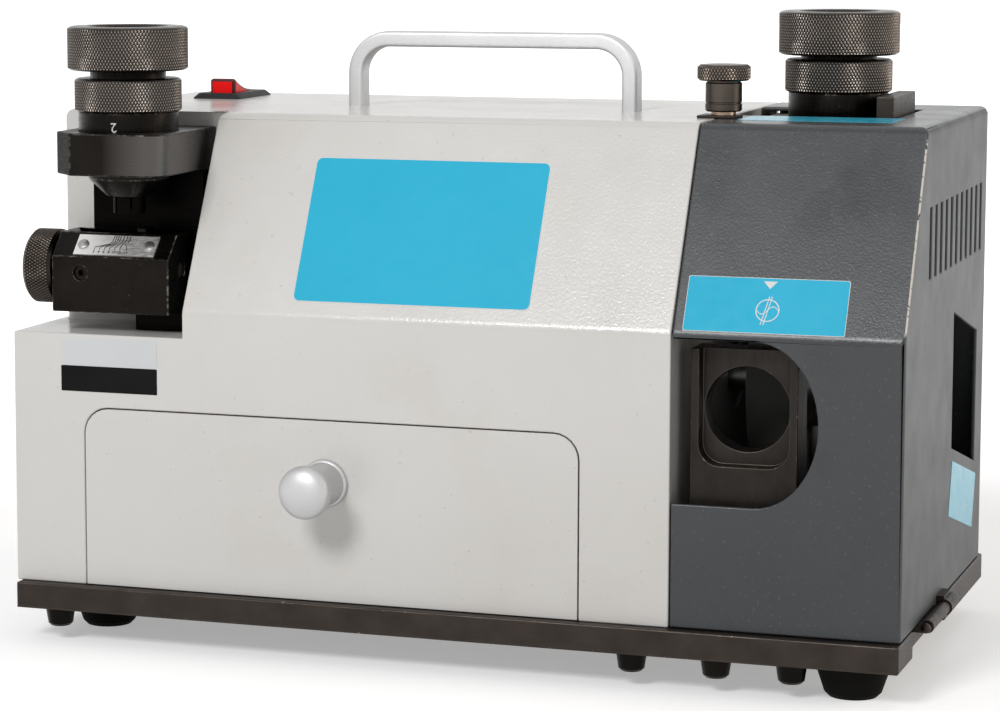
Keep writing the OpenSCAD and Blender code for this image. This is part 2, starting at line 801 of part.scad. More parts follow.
module setting_slide() {
    color(steel) placed() difference() {
        union() {
            block([slide_x1 - slide_l, slide_y - slide_w / 2, slot_floor_z + slide_gap],
                [slide_x1, slide_y + slide_w / 2, block_z1]);
            block([finger_x, slide_y - finger_l / 2, block_z1 + move_gap],
                [slide_x1, slide_y + finger_l / 2, block_z1 + finger_h]);
            block([finger_x, slide_y - slide_w / 2, block_z1],
                [slide_x1, slide_y + slide_w / 2, block_z1 + 1]);
        }
        x_rod([slide_x1 - slide_l - cut, slide_y, gauge_screw_z],
            gauge_screw_d + 2 * run_gap, slide_l + 2 * cut);
    }
}

module gauge_screw() {
    color(steel) placed() {
        x_rod([block_x0 - move_gap - collar_l, slide_y, gauge_screw_z], gauge_screw_d,
            block_w + move_gap + collar_l - 1);
        x_rod([block_x0 - move_gap - collar_l, slide_y, gauge_screw_z], collar_d, collar_l);
    }
}

module gauge_knob() {
    color(black) placed() translate([gauge_knob_x0, slide_y, gauge_screw_z]) rotate([0, 90, 0])
        bevelled(gauge_knob_d, gauge_knob_l, 1.2);
}

// A chuck stands with the underside of its index flange at the given height
module chuck_body(at, z) {
    color(black) placed() translate([at[0], at[1], z]) difference() {
        union() {
            cylinder(d = flange_d, h = flange_h);
            cylinder(d = neck_d, h = flange_h + ring_h + neck_in_cap);
            translate([0, 0, -sleeve_l]) cylinder(d = sleeve_d, h = sleeve_l);
            translate([0, 0, -sleeve_l - nose_l]) cylinder(d1 = nose_d, d2 = sleeve_d, h = nose_l);
        }
        translate([0, 0, collet_z0]) cylinder(d = collet_d, h = collet_l);
        translate([0, 0, collet_z1])
            cylinder(d = chuck_bore_d, h = flange_h + ring_h + neck_in_cap - collet_z1 + cut);
    }
}

module grip_ring(at, z) {
    color(black) placed() translate([at[0], at[1], z + flange_h]) difference() {
        bevelled(ring_d, ring_h, chuck_bevel);
        translate([0, 0, -cut]) cylinder(d = neck_d, h = ring_h + 2 * cut);
    }
}

module collet(at, z) {
    color(steel) placed() translate([at[0], at[1], z + collet_z0]) difference() {
        cylinder(d = collet_d, h = collet_l);
        translate([0, 0, -cut]) cylinder(d = tool_d, h = collet_l + 2 * cut);
        for (a = [0, 60, 120]) rotate([0, 0, a])
            block([-collet_d / 2 - cut, -0.4, -cut], [collet_d / 2 + cut, 0.4, collet_l * 0.7]);
    }
}

module chuck_cap(at, z, gap) {
    z0 = flange_h + ring_h + gap;
    color(black) placed() translate([at[0], at[1], z]) difference() {
        union() {
            translate([0, 0, z0]) bevelled(cap_d, cap_h, chuck_bevel);
            translate([0, 0, collet_z1 + move_gap]) cylinder(d = drawbar_d, h = z0 - collet_z1);
        }
        translate([0, 0, z0 - cut]) difference() {
            cylinder(d = neck_d + 2 * move_gap, h = neck_in_cap - gap + move_gap + cut);
            translate([0, 0, -cut]) cylinder(d = drawbar_d, h = neck_in_cap + 3 * cut);
        }
        translate([0, 0, z0 + cap_h - cap_cup_h]) cylinder(d = cap_cup_d, h = cap_cup_h + cut);
        translate([0, 0, collet_z1]) cylinder(d = tool_d, h = z0 + cap_h - collet_z1 + cut);
    }
}

left_z = arm_z1 - arm_recess;

module left_chuck_body() { chuck_body(gauge_axis, left_z); }
module left_grip_ring() { grip_ring(gauge_axis, left_z); }
module left_collet() { collet(gauge_axis, left_z); }
module left_cap() { chuck_cap(gauge_axis, left_z, cap_gap_left); }
module right_chuck_body() { chuck_body(right_axis, seat_z1); }
module right_grip_ring() { grip_ring(right_axis, seat_z1); }
module right_collet() { collet(right_axis, seat_z1); }
module right_cap() { chuck_cap(right_axis, seat_z1, cap_gap_right); }

module port_column() {
    color(brown) placed()
        block([seat_x0, column_y0, floor_z], [seat_x1, column_y0 + column_t, seat_z1 - seat_t]);
}

module top_seat() {
    color(brown) placed() difference() {
        block([seat_x0, seat_y0, seat_z1 - seat_t], [seat_x1, column_y0 + column_t, seat_z1]);
        translate([right_axis[0], right_axis[1], seat_z1 - seat_t - cut])
            cylinder(d = port_d, h = seat_t + 2 * cut);
        seat_screw_places() cylinder(d = port_screw_d, h = seat_t + cut);
    }
}

port_screw_d = 5;

// Runs its children at each screw that holds the top seat on its column
module seat_screw_places() {
    for (x = [seat_x0 + 9, seat_x1 - 9])
        translate([x, column_y0 + column_t / 2, seat_z1 - seat_t]) children();
}

module port_screws() {
    color(black) placed() seat_screw_places() cylinder(d = port_screw_d, h = seat_t);
}

module stop_block() {
    x0 = right_axis[0] + flange_d / 2 + move_gap;
    y0 = right_axis[1] - stop_front;
    color(brown) placed() block([x0, y0, seat_z1], [x0 + stop_w, y0 + stop_l, seat_z1 + stop_h]);
}

port_pocket_dep = 5;
port_pocket_r = 7;
port_top = 20;
port_pocket_down = 18.4;

module front_port_block() {
    w = port_pocket_w + 2 * port_wall;
    z0 = spindle_z - port_pocket_down;
    r = port_pocket_r;
    color(brown) placed() difference() {
        block([port_x - w / 2, port_block_y, floor_z],
            [port_x + w / 2, port_block_y + port_block_t, spindle_z + port_top]);
        translate([port_x, port_block_y + port_pocket_dep, 0]) rotate([90, 0, 0])
            linear_extrude(port_pocket_dep + cut)
            polygon(concat([[-port_pocket_w / 2, spindle_z + port_top + cut]],
                arc([-port_pocket_w / 2 + r, z0 + r], r, 180, 270),
                arc([port_pocket_w / 2 - r, z0 + r], r, 270, 360),
                [[port_pocket_w / 2, spindle_z + port_top + cut]]));
        y_rod([port_x, port_block_y - cut, spindle_z], port_d, port_block_t + 2 * cut);
    }
}

module side_port_block() {
    color(brown) placed() difference() {
        block([side_block_x0, side_block_y0, floor_z],
            [side_block_x0 + side_block_t, column_y0, floor_z + side_block_h]);
        x_rod([side_block_x0 - cut, side_axis[0], side_axis[1]], port_d, side_block_t + 2 * cut);
    }
}

module wheel_cover() {
    color(grey) placed() difference() {
        cover_form(cover_x0, 0, floor_z + move_gap);
        cover_form(cover_x0 - cut, sheet_t, floor_z - cut);
        translate([0, front_y + sheet_t + cut, 0]) rotate([90, 0, 0]) linear_extrude(sheet_t + 2 * cut)
            polygon(concat(
                [[cover_x0 - cut, window_z + window_h / 2], [cover_x0 - cut, window_z - window_h / 2]],
                [for (i = [0:24]) let (a = -90 + 180 * i / 24)
                    [cover_x0 + window_w - window_round * (1 - cos(a)), window_z + window_h / 2 * sin(a)]]));
        block([cover_x0 - cut, notch_y0, top_z - sheet_t - cut], [notch_x1, notch_y1, top_z + cut]);
        for (i = [0:vent_count - 1])
            block([cover_x1 - sheet_t - cut, vent_y0 + i * vent_pitch - vent_w / 2, vent_z0],
                [cover_x1 + cut, vent_y0 + i * vent_pitch + vent_w / 2, vent_z0 + vent_h]);
        x_slab(cover_x1 - sheet_t - cut, cover_x1 + cut) polygon([[slot_y0, slot_top_z],
            [slot_y0 + slot_w, slot_top_z - slot_drop], [slot_y0 + slot_w, slot_top_z - slot_drop - slot_h],
            [slot_y0, slot_top_z - slot_h]]);
        translate([latch_at[0], latch_at[1], top_z - sheet_t - cut])
            cylinder(d = latch_shank_d + 2 * move_gap, h = sheet_t + 2 * cut);
    }
}

knuckle_y0 = barrel_y0 + barrel_l + move_gap;

module cover_knuckle() {
    color(steel) placed() difference() {
        union() {
            y_rod([hinge_x, knuckle_y0, hinge_z], knuckle_d, knuckle_l - move_gap);
            block([cover_x1, knuckle_y0, floor_z + move_gap],
                [hinge_x, knuckle_y0 + knuckle_l - move_gap, floor_z + knuckle_tab_h]);
            block([hinge_x - 1, knuckle_y0, hinge_z],
                [hinge_x, knuckle_y0 + knuckle_l - move_gap, floor_z + knuckle_tab_h]);
        }
        y_rod([hinge_x, knuckle_y0 - cut, hinge_z], pin_d + 2 * run_gap, knuckle_l + 2 * cut);
    }
}

module hinge_barrel() {
    color(steel) placed() difference() {
        union() {
            y_rod([hinge_x, barrel_y0, hinge_z], barrel_d, barrel_l);
            block([hinge_notch_x, barrel_y0, hinge_z - barrel_d / 2],
                [hinge_x, barrel_y0 + barrel_l, hinge_z + 0.6]);
        }
        y_rod([hinge_x, barrel_y0 - cut, hinge_z], pin_d, barrel_l + 2 * cut);
    }
}

pin_ball_d = 3.4;
pin_out = 1.5;

module hinge_pin() {
    color(steel) placed() {
        y_rod([hinge_x, barrel_y0 - pin_out, hinge_z], pin_d, pin_out + barrel_l + knuckle_l);
        translate([hinge_x, barrel_y0 - pin_out - pin_ball_d / 2 + 0.6, hinge_z])
            sphere(d = pin_ball_d, $fn = 32);
    }
}

latch_plate_l = 11;
latch_plate_left = 8;
latch_plate_right = 5.4;

module latch_plate() {
    color(brown) placed() difference() {
        block([latch_at[0] - latch_plate_left, latch_at[1] - latch_plate_l / 2, top_z],
            [latch_at[0] + latch_plate_right, latch_at[1] + latch_plate_l / 2, top_z + latch_plate_t]);
        translate([latch_at[0], latch_at[1], top_z - cut])
            cylinder(d = latch_neck_d + 2 * move_gap, h = latch_plate_t + 3 * cut);
    }
}

module thumb_screw() {
    color(brown) placed() translate([latch_at[0], latch_at[1], top_z]) {
        translate([0, 0, latch_neck_l + latch_body_l]) bevelled(latch_head_d, latch_head_h, 0.8);
        cylinder(d = latch_neck_d, h = latch_neck_l);
        translate([0, 0, latch_neck_l]) cylinder(d = latch_body_d, h = latch_body_l);
        translate([0, 0, -latch_tip_l]) cylinder(d = latch_shank_d, h = latch_tip_l);
    }
}

bracket_l = 18;
bracket_w = 12;
bracket_t = 4;
bracket_drop = 24;

module latch_bracket() {
    z1 = top_z - sheet_t - move_gap;
    color(steel) placed() difference() {
        union() {
            block([housing_x1, latch_at[1] - bracket_l / 2, z1 - bracket_t],
                [housing_x1 + bracket_w, latch_at[1] + bracket_l / 2, z1]);
            block([housing_x1, latch_at[1] - bracket_l / 2, z1 - bracket_drop],
                [housing_x1 + bracket_t, latch_at[1] + bracket_l / 2, z1]);
        }
        translate([latch_at[0], latch_at[1], z1 - bracket_drop / 2])
            cylinder(d = latch_shank_d + 2 * move_gap, h = bracket_drop);
        block([latch_at[0], latch_at[1] - latch_shank_d / 2 - move_gap, z1 - bracket_drop / 2],
            [housing_x1 + bracket_w + cut, latch_at[1] + latch_shank_d / 2 + move_gap, z1 + cut]);
    }
}

module motor_body() {
    color(steel) placed() difference() {
        x_rod([motor_x0, spindle_y, spindle_z], motor_d, motor_l);
        x_rod([motor_x0 - cut, spindle_y, spindle_z], stator_hole_d, motor_l + 2 * cut);
    }
}

// Dished end of the motor with a seat for its bearing
module motor_bell(x0, seat_x) {
    color(silver) placed() difference() {
        x_rod([x0, spindle_y, spindle_z], motor_d, bell_t);
        x_rod([x0 - cut, spindle_y, spindle_z], bell_hole_d, bell_t + 2 * cut);
        x_rod([seat_x, spindle_y, spindle_z], bearing_d, bearing_t);
    }
}

module motor_front_bell() { motor_bell(motor_x1, motor_x1); }
module motor_rear_bell() { motor_bell(motor_x0 - bell_t, motor_x0 - bearing_t); }

module bearing(x0) {
    color(steel) placed() difference() {
        x_rod([x0, spindle_y, spindle_z], bearing_d, bearing_t);
        x_rod([x0 - cut, spindle_y, spindle_z], spindle_d + 2 * run_gap, bearing_t + 2 * cut);
    }
}

module front_bearing() { bearing(motor_x1); }
module rear_bearing() { bearing(motor_x0 - bearing_t); }

cradle_w = 52;
cradle_margin = 12;

module motor_cradle() {
    color(steel) placed() difference() {
        block([motor_x0 + cradle_margin, spindle_y - cradle_w / 2, floor_z],
            [motor_x1 - cradle_margin, spindle_y + cradle_w / 2, spindle_z - motor_d / 2 + 10]);
        x_rod([motor_x0, spindle_y, spindle_z], motor_d, motor_l);
    }
}

capacitor_d = 34;
capacitor_h = 62;
capacitor_at = [housing_x0 + 30, spindle_y - 1];

module run_capacitor() {
    color(silver) placed() translate([capacitor_at[0], capacitor_at[1], floor_z])
        bevelled(capacitor_d, capacitor_h, 1.5);
}

terminal_at = [housing_x0 + 62, back_y - 28];
terminal_size = [40, 18, 16];

module terminal_block() {
    color(black) placed() translate([terminal_at[0], terminal_at[1], floor_z]) difference() {
        cube(terminal_size);
        for (i = [0:3])
            translate([(i + 0.5) * terminal_size[0] / 4, terminal_size[1] / 2, terminal_size[2] - 6])
                cylinder(d = 5, h = 6 + cut);
    }
}

module spindle() {
    color(steel) placed() x_rod([fan_x0, spindle_y, spindle_z], spindle_d, spindle_x1 - fan_x0);
}

fan_hub_d = 22;
fan_blades = 8;
blade_t = 1.6;

module cooling_fan() {
    color(black) placed() translate([fan_x0, spindle_y, spindle_z]) rotate([0, 90, 0]) difference() {
        union() {
            cylinder(d = fan_hub_d, h = fan_t);
            cylinder(d = fan_d, h = blade_t);
            for (i = [0:fan_blades - 1]) rotate([0, 0, i * 360 / fan_blades])
                block([fan_hub_d / 2 - 1, -blade_t / 2, 0], [fan_d / 2 - 1, blade_t / 2, fan_t]);
        }
        translate([0, 0, -cut]) cylinder(d = spindle_d, h = fan_t + 2 * cut);
    }
}

module wheel_hub() {
    color(steel) placed() difference() {
        union() {
            x_rod([wheel_x0 - hub_t, spindle_y, spindle_z], hub_d, hub_t);
            x_rod([wheel_x0, spindle_y, spindle_z], spigot_d, wheel_t);
        }
        x_rod([wheel_x0 - hub_t - cut, spindle_y, spindle_z], spindle_d, hub_t + wheel_t + 2 * cut);
    }
}

module grinding_wheel() {
    color(grey) placed() difference() {
        x_rod([wheel_x0, spindle_y, spindle_z], wheel_d, wheel_t);
        x_rod([wheel_x0 - cut, spindle_y, spindle_z], spigot_d, wheel_t + 2 * cut);
    }
}

module wheel_flange() {
    color(steel) placed() difference() {
        x_rod([wheel_x0 + wheel_t, spindle_y, spindle_z], hub_d, hub_t);
        x_rod([wheel_x0 + wheel_t - cut, spindle_y, spindle_z], spindle_d, hub_t + 2 * cut);
    }
}

nut_d = 22;

module spindle_nut() {
    color(steel) placed() difference() {
        translate([wheel_x0 + wheel_t + hub_t, spindle_y, spindle_z]) rotate([0, 90, 0])
            cylinder(d = nut_d, h = nut_l, $fn = 6);
        x_rod([wheel_x0 + wheel_t + hub_t - cut, spindle_y, spindle_z], spindle_d, nut_l + 2 * cut);
    }
}

base_plate();
rubber_feet();
base_screws();
main_housing();
rear_panel();
panel_screws();
power_inlet();
carry_handle();
handle_screws();
switch_bezel();
switch_rocker();
drawer_box();
drawer_front();
drawer_knob();
drawer_runners();
gauge_post();
gauge_arm();
scale_block();
scale_plate();
scale_rivets();
set_screw();
setting_slide();
gauge_screw();
gauge_knob();
left_chuck_body();
left_grip_ring();
left_collet();
left_cap();
right_chuck_body();
right_grip_ring();
right_collet();
right_cap();
port_column();
top_seat();
stop_block();
front_port_block();
side_port_block();
port_screws();
wheel_cover();
cover_knuckle();
latch_plate();
thumb_screw();
latch_bracket();
hinge_barrel();
hinge_pin();
motor_body();
motor_front_bell();
motor_rear_bell();
front_bearing();
rear_bearing();
motor_cradle();
run_capacitor();
terminal_block();
spindle();
cooling_fan();
wheel_hub();
grinding_wheel();
wheel_flange();
spindle_nut();
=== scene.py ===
import json
import math
import bmesh
import bpy
import numpy as np
from mathutils import Matrix


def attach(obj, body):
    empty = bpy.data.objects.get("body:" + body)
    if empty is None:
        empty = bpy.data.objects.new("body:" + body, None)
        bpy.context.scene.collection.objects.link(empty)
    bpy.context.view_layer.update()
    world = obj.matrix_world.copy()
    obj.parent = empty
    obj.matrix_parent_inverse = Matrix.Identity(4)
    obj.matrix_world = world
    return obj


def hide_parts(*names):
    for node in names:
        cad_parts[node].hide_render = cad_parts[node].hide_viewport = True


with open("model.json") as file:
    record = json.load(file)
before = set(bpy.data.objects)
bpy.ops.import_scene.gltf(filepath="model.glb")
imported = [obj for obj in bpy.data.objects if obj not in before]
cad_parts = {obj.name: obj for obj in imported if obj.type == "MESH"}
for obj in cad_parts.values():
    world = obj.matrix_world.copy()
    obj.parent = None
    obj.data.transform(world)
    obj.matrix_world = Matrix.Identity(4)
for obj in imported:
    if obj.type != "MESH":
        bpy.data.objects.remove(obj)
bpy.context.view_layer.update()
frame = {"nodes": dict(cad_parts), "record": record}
nodes = frame["nodes"]
print("frame loaded with", len(nodes), "nodes")

# the machine is drawn from the middle of its base plate's front edge, in mm
originMm = np.array([1.8, 71.0, 0.0])

# sloped front: where it starts, its way up and its way out
slope = dict(foot=(0.0, 4.0, 118.0), run=35.0, rise=66.0)
slopeLength = math.hypot(slope["run"], slope["rise"])
slopeFoot = np.array(slope["foot"])
slopeUp = np.array([0.0, slope["run"], slope["rise"]]) / slopeLength
slopeOut = np.array([0.0, -slope["rise"], slope["run"]]) / slopeLength
alongX, alongY, alongZ = (1, 0, 0), (0, 1, 0), (0, 0, 1)


def toRow(points):  # machine millimetres to metres in the shared frame
    return (np.asarray(points, float) - originMm) / 1000.0


def onSlope(x, s, lift):  # x along the front, s up the slope, lift off it
    return slopeFoot + [x, 0, 0] + slopeUp * s + slopeOut * lift


# mesh helpers


def putMesh(name, verts, faces, material, body, standsFor=(), sharp=32, smooth=True, tip=None):
    mesh = bpy.data.meshes.new(name)
    mesh.from_pydata(toRow(verts).tolist(), [], faces)
    if tip is not None:
        mesh.attributes.new("tip", "FLOAT", "POINT").data.foreach_set("value", tip.ravel())
    work = bmesh.new()
    work.from_mesh(mesh)
    bmesh.ops.remove_doubles(work, verts=work.verts, dist=1e-7)
    bmesh.ops.recalc_face_normals(work, faces=work.faces)
    work.to_mesh(mesh)
    work.free()
    mesh.polygons.foreach_set("use_smooth", np.full(len(mesh.polygons), smooth))
    if smooth:
        mesh.set_sharp_from_angle(angle=math.radians(sharp))
    mesh.materials.append(material)
    obj = bpy.data.objects.new(name, mesh)
    bpy.context.scene.collection.objects.link(obj)
    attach(obj, body)
    if standsFor:
        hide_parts(*standsFor)
    return obj


def gridFaces(nu, nv, wrapU, wrapV):  # quads between neighbouring rows and columns
    u = np.arange(nu if wrapU else nu - 1)
    v = np.arange(nv if wrapV else nv - 1)
    i, j = np.meshgrid(u, v, indexing="ij")
    i2, j2 = (i + 1) % nu, (j + 1) % nv
    quads = np.stack([i * nv + j, i2 * nv + j, i2 * nv + j2, i * nv + j2], axis=-1)
    return quads.reshape(-1, 4).tolist()


def turned(name, profile, centre, axis, material, body,
           standsFor=(), turns=96, relief=None, ring=True, sharp=32):
    # point = centre + axis * height + radius * (cos, sin), with a relief added to the radius
    profile = np.asarray(profile, float)
    angle = np.linspace(0, 2 * np.pi, turns, endpoint=False)[:, None]
    radius = np.repeat(profile[None, :, 0], turns, axis=0)
    height = np.repeat(profile[None, :, 1], turns, axis=0)
    tip = None
    if relief is not None:
        offset, tip = relief(angle, height, radius)
        radius = radius + offset
    a, b = radius * np.cos(angle), radius * np.sin(angle)
    along = {"z": (a, b, height), "x": (height, a, b), "y": (b, -height, a)}[axis]
    points = np.stack(along, axis=-1) + np.asarray(centre, float)
    faces = gridFaces(turns, len(profile), True, ring)
    return putMesh(name, points.reshape(-1, 3), faces, material, body, standsFor, sharp, tip=tip)


# pitch round the rim and groove depth in mm, each diamond's height in pitches, points to a pitch,
# how far up the wave is cut off flat, and how worn the plain faces look
knurl = dict(pitch=1.17, tall=1.68, depth=0.28, flat=0.7, steps=8, plainTip=0.35)


def saw(t):  # triangle wave, 0 at whole numbers and 1 half way
    return 1 - np.abs(2 * (t - np.floor(t)) - 1)


def knurlCount(outerR):  # whole diamonds round the rim
    return round(2 * np.pi * outerR / knurl["pitch"])


def diamondKnurl(outerR, z0, z1):
    # two families of slanted grooves cross; the lower of the two waves, cut off flat, is a diamond's height
    count = knurlCount(outerR)

    def relief(angle, height, radius):
        turn = count * angle / (2 * np.pi)
        lift = (height - z0) / (knurl["pitch"] * knurl["tall"])
        wave = np.minimum(np.minimum(saw(turn + lift), saw(turn - lift)) / knurl["flat"], 1)
        inside = (radius > outerR - 1e-4) & (height >= z0) & (height <= z1)
        return np.where(inside, (wave - 1) * knurl["depth"], 0.0), np.where(inside, wave, knurl["plainTip"])

    return relief


def knurlRows(outerR, z0, z1):
    step = knurl["pitch"] * knurl["tall"] / knurl["steps"]
    z = np.linspace(z0, z1, max(int(round((z1 - z0) / step)), 2) + 1)
    return [(outerR, h) for h in z]


def knurlTurns(outerR):
    return knurl["steps"] * knurlCount(outerR)


def roundedRect(w, h, r, n=6):  # outline of a rectangle with round corners, anticlockwise
    a = np.linspace(0, np.pi / 2, n + 1)
    out = []
    for k, (sx, sy) in enumerate([(1, 1), (-1, 1), (-1, -1), (1, -1)]):
        t = a + k * np.pi / 2
        out.append(np.stack([sx * (w / 2 - r) + r * np.cos(t), sy * (h / 2 - r) + r * np.sin(t)], axis=-1))
    return np.concatenate(out)


def slab(name, outline, origin, right, up, thick, material, body):
    # flat outline in two directions, given a thickness along their cross product
    origin, right, up = (np.asarray(v, float) for v in (origin, right, up))
    normal = np.cross(right, up)
    flat = origin + outline[:, :1] * right + outline[:, 1:2] * up
    n = len(flat)
    verts = np.concatenate([flat, flat + normal * thick])
    here, after = np.arange(n), (np.arange(n) + 1) % n
    sides = np.stack([here, after, after + n, here + n], axis=-1)
    faces = [list(range(n))[::-1], list(range(n, 2 * n))] + sides.tolist()
    return putMesh(name, verts, faces, material, body, smooth=False)


bevelLook = dict(segments=3, angle=34, flatAngle=0.4, weld=1e-6)


def soften(nodeName, width, worn):
    # rounds a solid's sharp edges: join corners, clear flat seams, bevel, with a worn finish on the rounds
    obj = nodes[nodeName]
    weld = obj.modifiers.new("weld", "WELD")
    weld.merge_threshold = bevelLook["weld"]
    flat = obj.modifiers.new("flat", "DECIMATE")
    flat.decimate_type = "DISSOLVE"
    flat.angle_limit = math.radians(bevelLook["flatAngle"])
    edge = obj.modifiers.new("edge", "BEVEL")
    edge.width = width / 1000
    edge.segments = bevelLook["segments"]
    edge.limit_method = "ANGLE"
    edge.angle_limit = math.radians(bevelLook["angle"])
    edge.use_clamp_overlap = False
    edge.harden_normals = True
    if worn is not None:
        obj.data.materials.append(worn)
        edge.material = 1


# node helpers for the finishes, which read places in metres in the shared frame


def startFinish(name):
    mat = bpy.data.materials.new(name)
    mat.use_nodes = True
    tree = mat.node_tree
    shader = tree.nodes["Principled BSDF"]
    coord = tree.nodes.new("ShaderNodeTexCoord")
    return mat, tree, shader, coord.outputs["Object"]


def noiseNode(tree, coord, scale, detail=4.0, stretch=None):
    node = tree.nodes.new("ShaderNodeTexNoise")
    node.inputs["Scale"].default_value = scale
    node.inputs["Detail"].default_value = detail
    node.inputs["Roughness"].default_value = 0.55
    source = coord
    if stretch is not None:
        turn = tree.nodes.new("ShaderNodeMapping")
        turn.inputs["Scale"].default_value = stretch
        tree.links.new(coord, turn.inputs["Vector"])
        source = turn.outputs["Vector"]
    tree.links.new(source, node.inputs["Vector"])
    return node.outputs["Fac"]


def remap(tree, source, low, high, outLow, outHigh):
    node = tree.nodes.new("ShaderNodeMapRange")
    for key, value in (("From Min", low), ("From Max", high), ("To Min", outLow), ("To Max", outHigh)):
        node.inputs[key].default_value = value
    tree.links.new(source, node.inputs["Value"])
    return node.outputs["Result"]


def past(tree, value, mark, soft):  # 0 below a mark and 1 above it, over a soft step
    return remap(tree, value, mark, mark + soft, 0, 1)


def joined(tree, operation, first, second):  # two values put together by one operation
    node = tree.nodes.new("ShaderNodeMath")
    node.operation = operation
    tree.links.new(first, node.inputs[0])
    tree.links.new(second, node.inputs[1])
    return node.outputs[0]


def vectorNode(tree, operation, vector, other=None, output="Value"):
    node = tree.nodes.new("ShaderNodeVectorMath")
    node.operation = operation
    if other is not None:
        node.inputs[1].default_value = other
    tree.links.new(vector, node.inputs[0])
    return node.outputs[output]


def placeOn(tree, coord, axis):  # how far along one axis a point is
    split = tree.nodes.new("ShaderNodeSeparateXYZ")
    tree.links.new(coord, split.inputs[0])
    return split.outputs[axis]


def blendColour(tree, factor, first, second):
    node = tree.nodes.new("ShaderNodeMix")
    node.data_type = "RGBA"
    for socket, value in ((node.inputs[6], first), (node.inputs[7], second)):
        if isinstance(value, tuple):
            socket.default_value = (*value, 1)
        else:
            tree.links.new(value, socket)
    tree.links.new(factor, node.inputs[0])
    return node.outputs[2]


def addBump(tree, shader, height, strength, distance):
    node = tree.nodes.new("ShaderNodeBump")
    node.inputs["Strength"].default_value = strength
    node.inputs["Distance"].default_value = distance
    tree.links.new(height, node.inputs["Height"])
    tree.links.new(node.outputs["Normal"], shader.inputs["Normal"])


# the span of a noise that is used, soft steps between finishes and depths of relief, in metres
midSpan, cloudSpan, patchSpan, blotchSpan = (0.3, 0.7), (0.35, 0.7), (0.56, 0.78), (0.32, 0.7)
hairStep, softStep, wideStep = 0.0002, 0.0004, 0.002
peelDeep, markDeep = 0.0004, 0.0002


def unevenGloss(tree, shader, pattern, rough, less, more):  # a pattern varies the roughness about its mean
    tree.links.new(remap(tree, pattern, *midSpan, rough - less, rough + more), shader.inputs["Roughness"])


def onlyBetween(tree, coord, beyondX, rangeZ):  # 1 right of one plane and between two heights, 0 elsewhere
    right = past(tree, placeOn(tree, coord, "X"), beyondX, hairStep)
    z = placeOn(tree, coord, "Z")
    above = past(tree, z, rangeZ[0], wideStep)
    below = remap(tree, z, rangeZ[1], rangeZ[1] + wideStep, 1, 0)
    return joined(tree, "MULTIPLY", joined(tree, "MULTIPLY", right, above), below)


def nearSlope(tree, coord, deep):  # 1 on the sloped front and down to a depth under it, 0 elsewhere
    level = float(toRow(slopeFoot) @ slopeOut)
    return past(tree, vectorNode(tree, "DOT_PRODUCT", coord, slopeOut), level - deep, hairStep)


def nearUpright(tree, coord, at, near, far):  # 1 close to an upright line through a point, falling to 0
    flat = vectorNode(tree, "MULTIPLY", coord, (1, 1, 0), "Vector")
    away = vectorNode(tree, "DISTANCE", flat, toRow((at[0], at[1], 0.0)))
    return remap(tree, away, near, far, 1, 0)


# painted reflection: a ragged round dark spot on the slope
def reflectionSpot(tree, coord, look, x, s, reach):  # a ragged round spot on the slope
    away = vectorNode(tree, "DISTANCE", coord, toRow(onSlope(x, s, 0.0)))
    ragged = look["reflectionRagged"]
    wander = remap(tree, noiseNode(tree, coord, look["reflectionScale"]), *midSpan, -ragged, ragged)
    return remap(tree, joined(tree, "ADD", away, wander), reach * 0.5, reach, look["reflectionDark"], 0)


def chipMarks(tree, coord, look):  # ragged chips, kept to one edge of the slope
    chipped = past(tree, noiseNode(tree, coord, look["chipScale"]), look["chipLow"], 0.04)
    zone = onlyBetween(tree, coord, look["chipX"], look["chipZ"])
    chipped = joined(tree, "MULTIPLY", chipped, zone)
    return joined(tree, "MULTIPLY", chipped, nearSlope(tree, coord, look["chipDeep"]))


def paintFinish(name, look):
    # orange-peel paint: fine swells, a cloudy tint, dirty patches, specks, uneven gloss, dark spots of
    # painted reflection, and chips where worn
    mat, tree, shader, coord = startFinish(name)
    cloud = remap(tree, noiseNode(tree, coord, look["cloudScale"], 5), *cloudSpan, 0, 1)
    tint = blendColour(tree, cloud, look["colour"], look["stain"])
    patch = remap(tree, noiseNode(tree, coord, look["patchScale"], 6), *patchSpan, 0, look["dirty"])
    tint = blendColour(tree, patch, tint, look["dirtAndReflection"])
    low = look["speckLow"]
    fine = remap(tree, noiseNode(tree, coord, look["speckScale"], 2), low, low + 0.05, 0, look["speckDark"])
    tint = blendColour(tree, fine, tint, look["speck"])
    gloss = noiseNode(tree, coord, look["glossScale"])
    rough = remap(tree, gloss, *midSpan, look["rough"] - 0.03, look["rough"] + 0.05)
    # painted reflection: dark spots in the dirt colour, which serves both
    for x, s, reach in look.get("paintedReflections", ()):
        tint = blendColour(tree, reflectionSpot(tree, coord, look, x, s, reach), tint, look["dirtAndReflection"])
    if "chip" in look:
        tint = blendColour(tree, chipMarks(tree, coord, look), tint, look["chip"])
    tree.links.new(tint, shader.inputs["Base Color"])
    if "mattX" in look:
        far = placeOn(tree, coord, "X")
        dusty = remap(tree, far, look["mattX"], look["mattX"] + softStep, 0, look["matt"])
        rough = joined(tree, "ADD", rough, dusty)
    tree.links.new(rough, shader.inputs["Roughness"])
    shader.inputs["Specular IOR Level"].default_value = look["shine"]
    addBump(tree, shader, noiseNode(tree, coord, look["peelScale"], 1.5), look["peel"], peelDeep)
    return mat


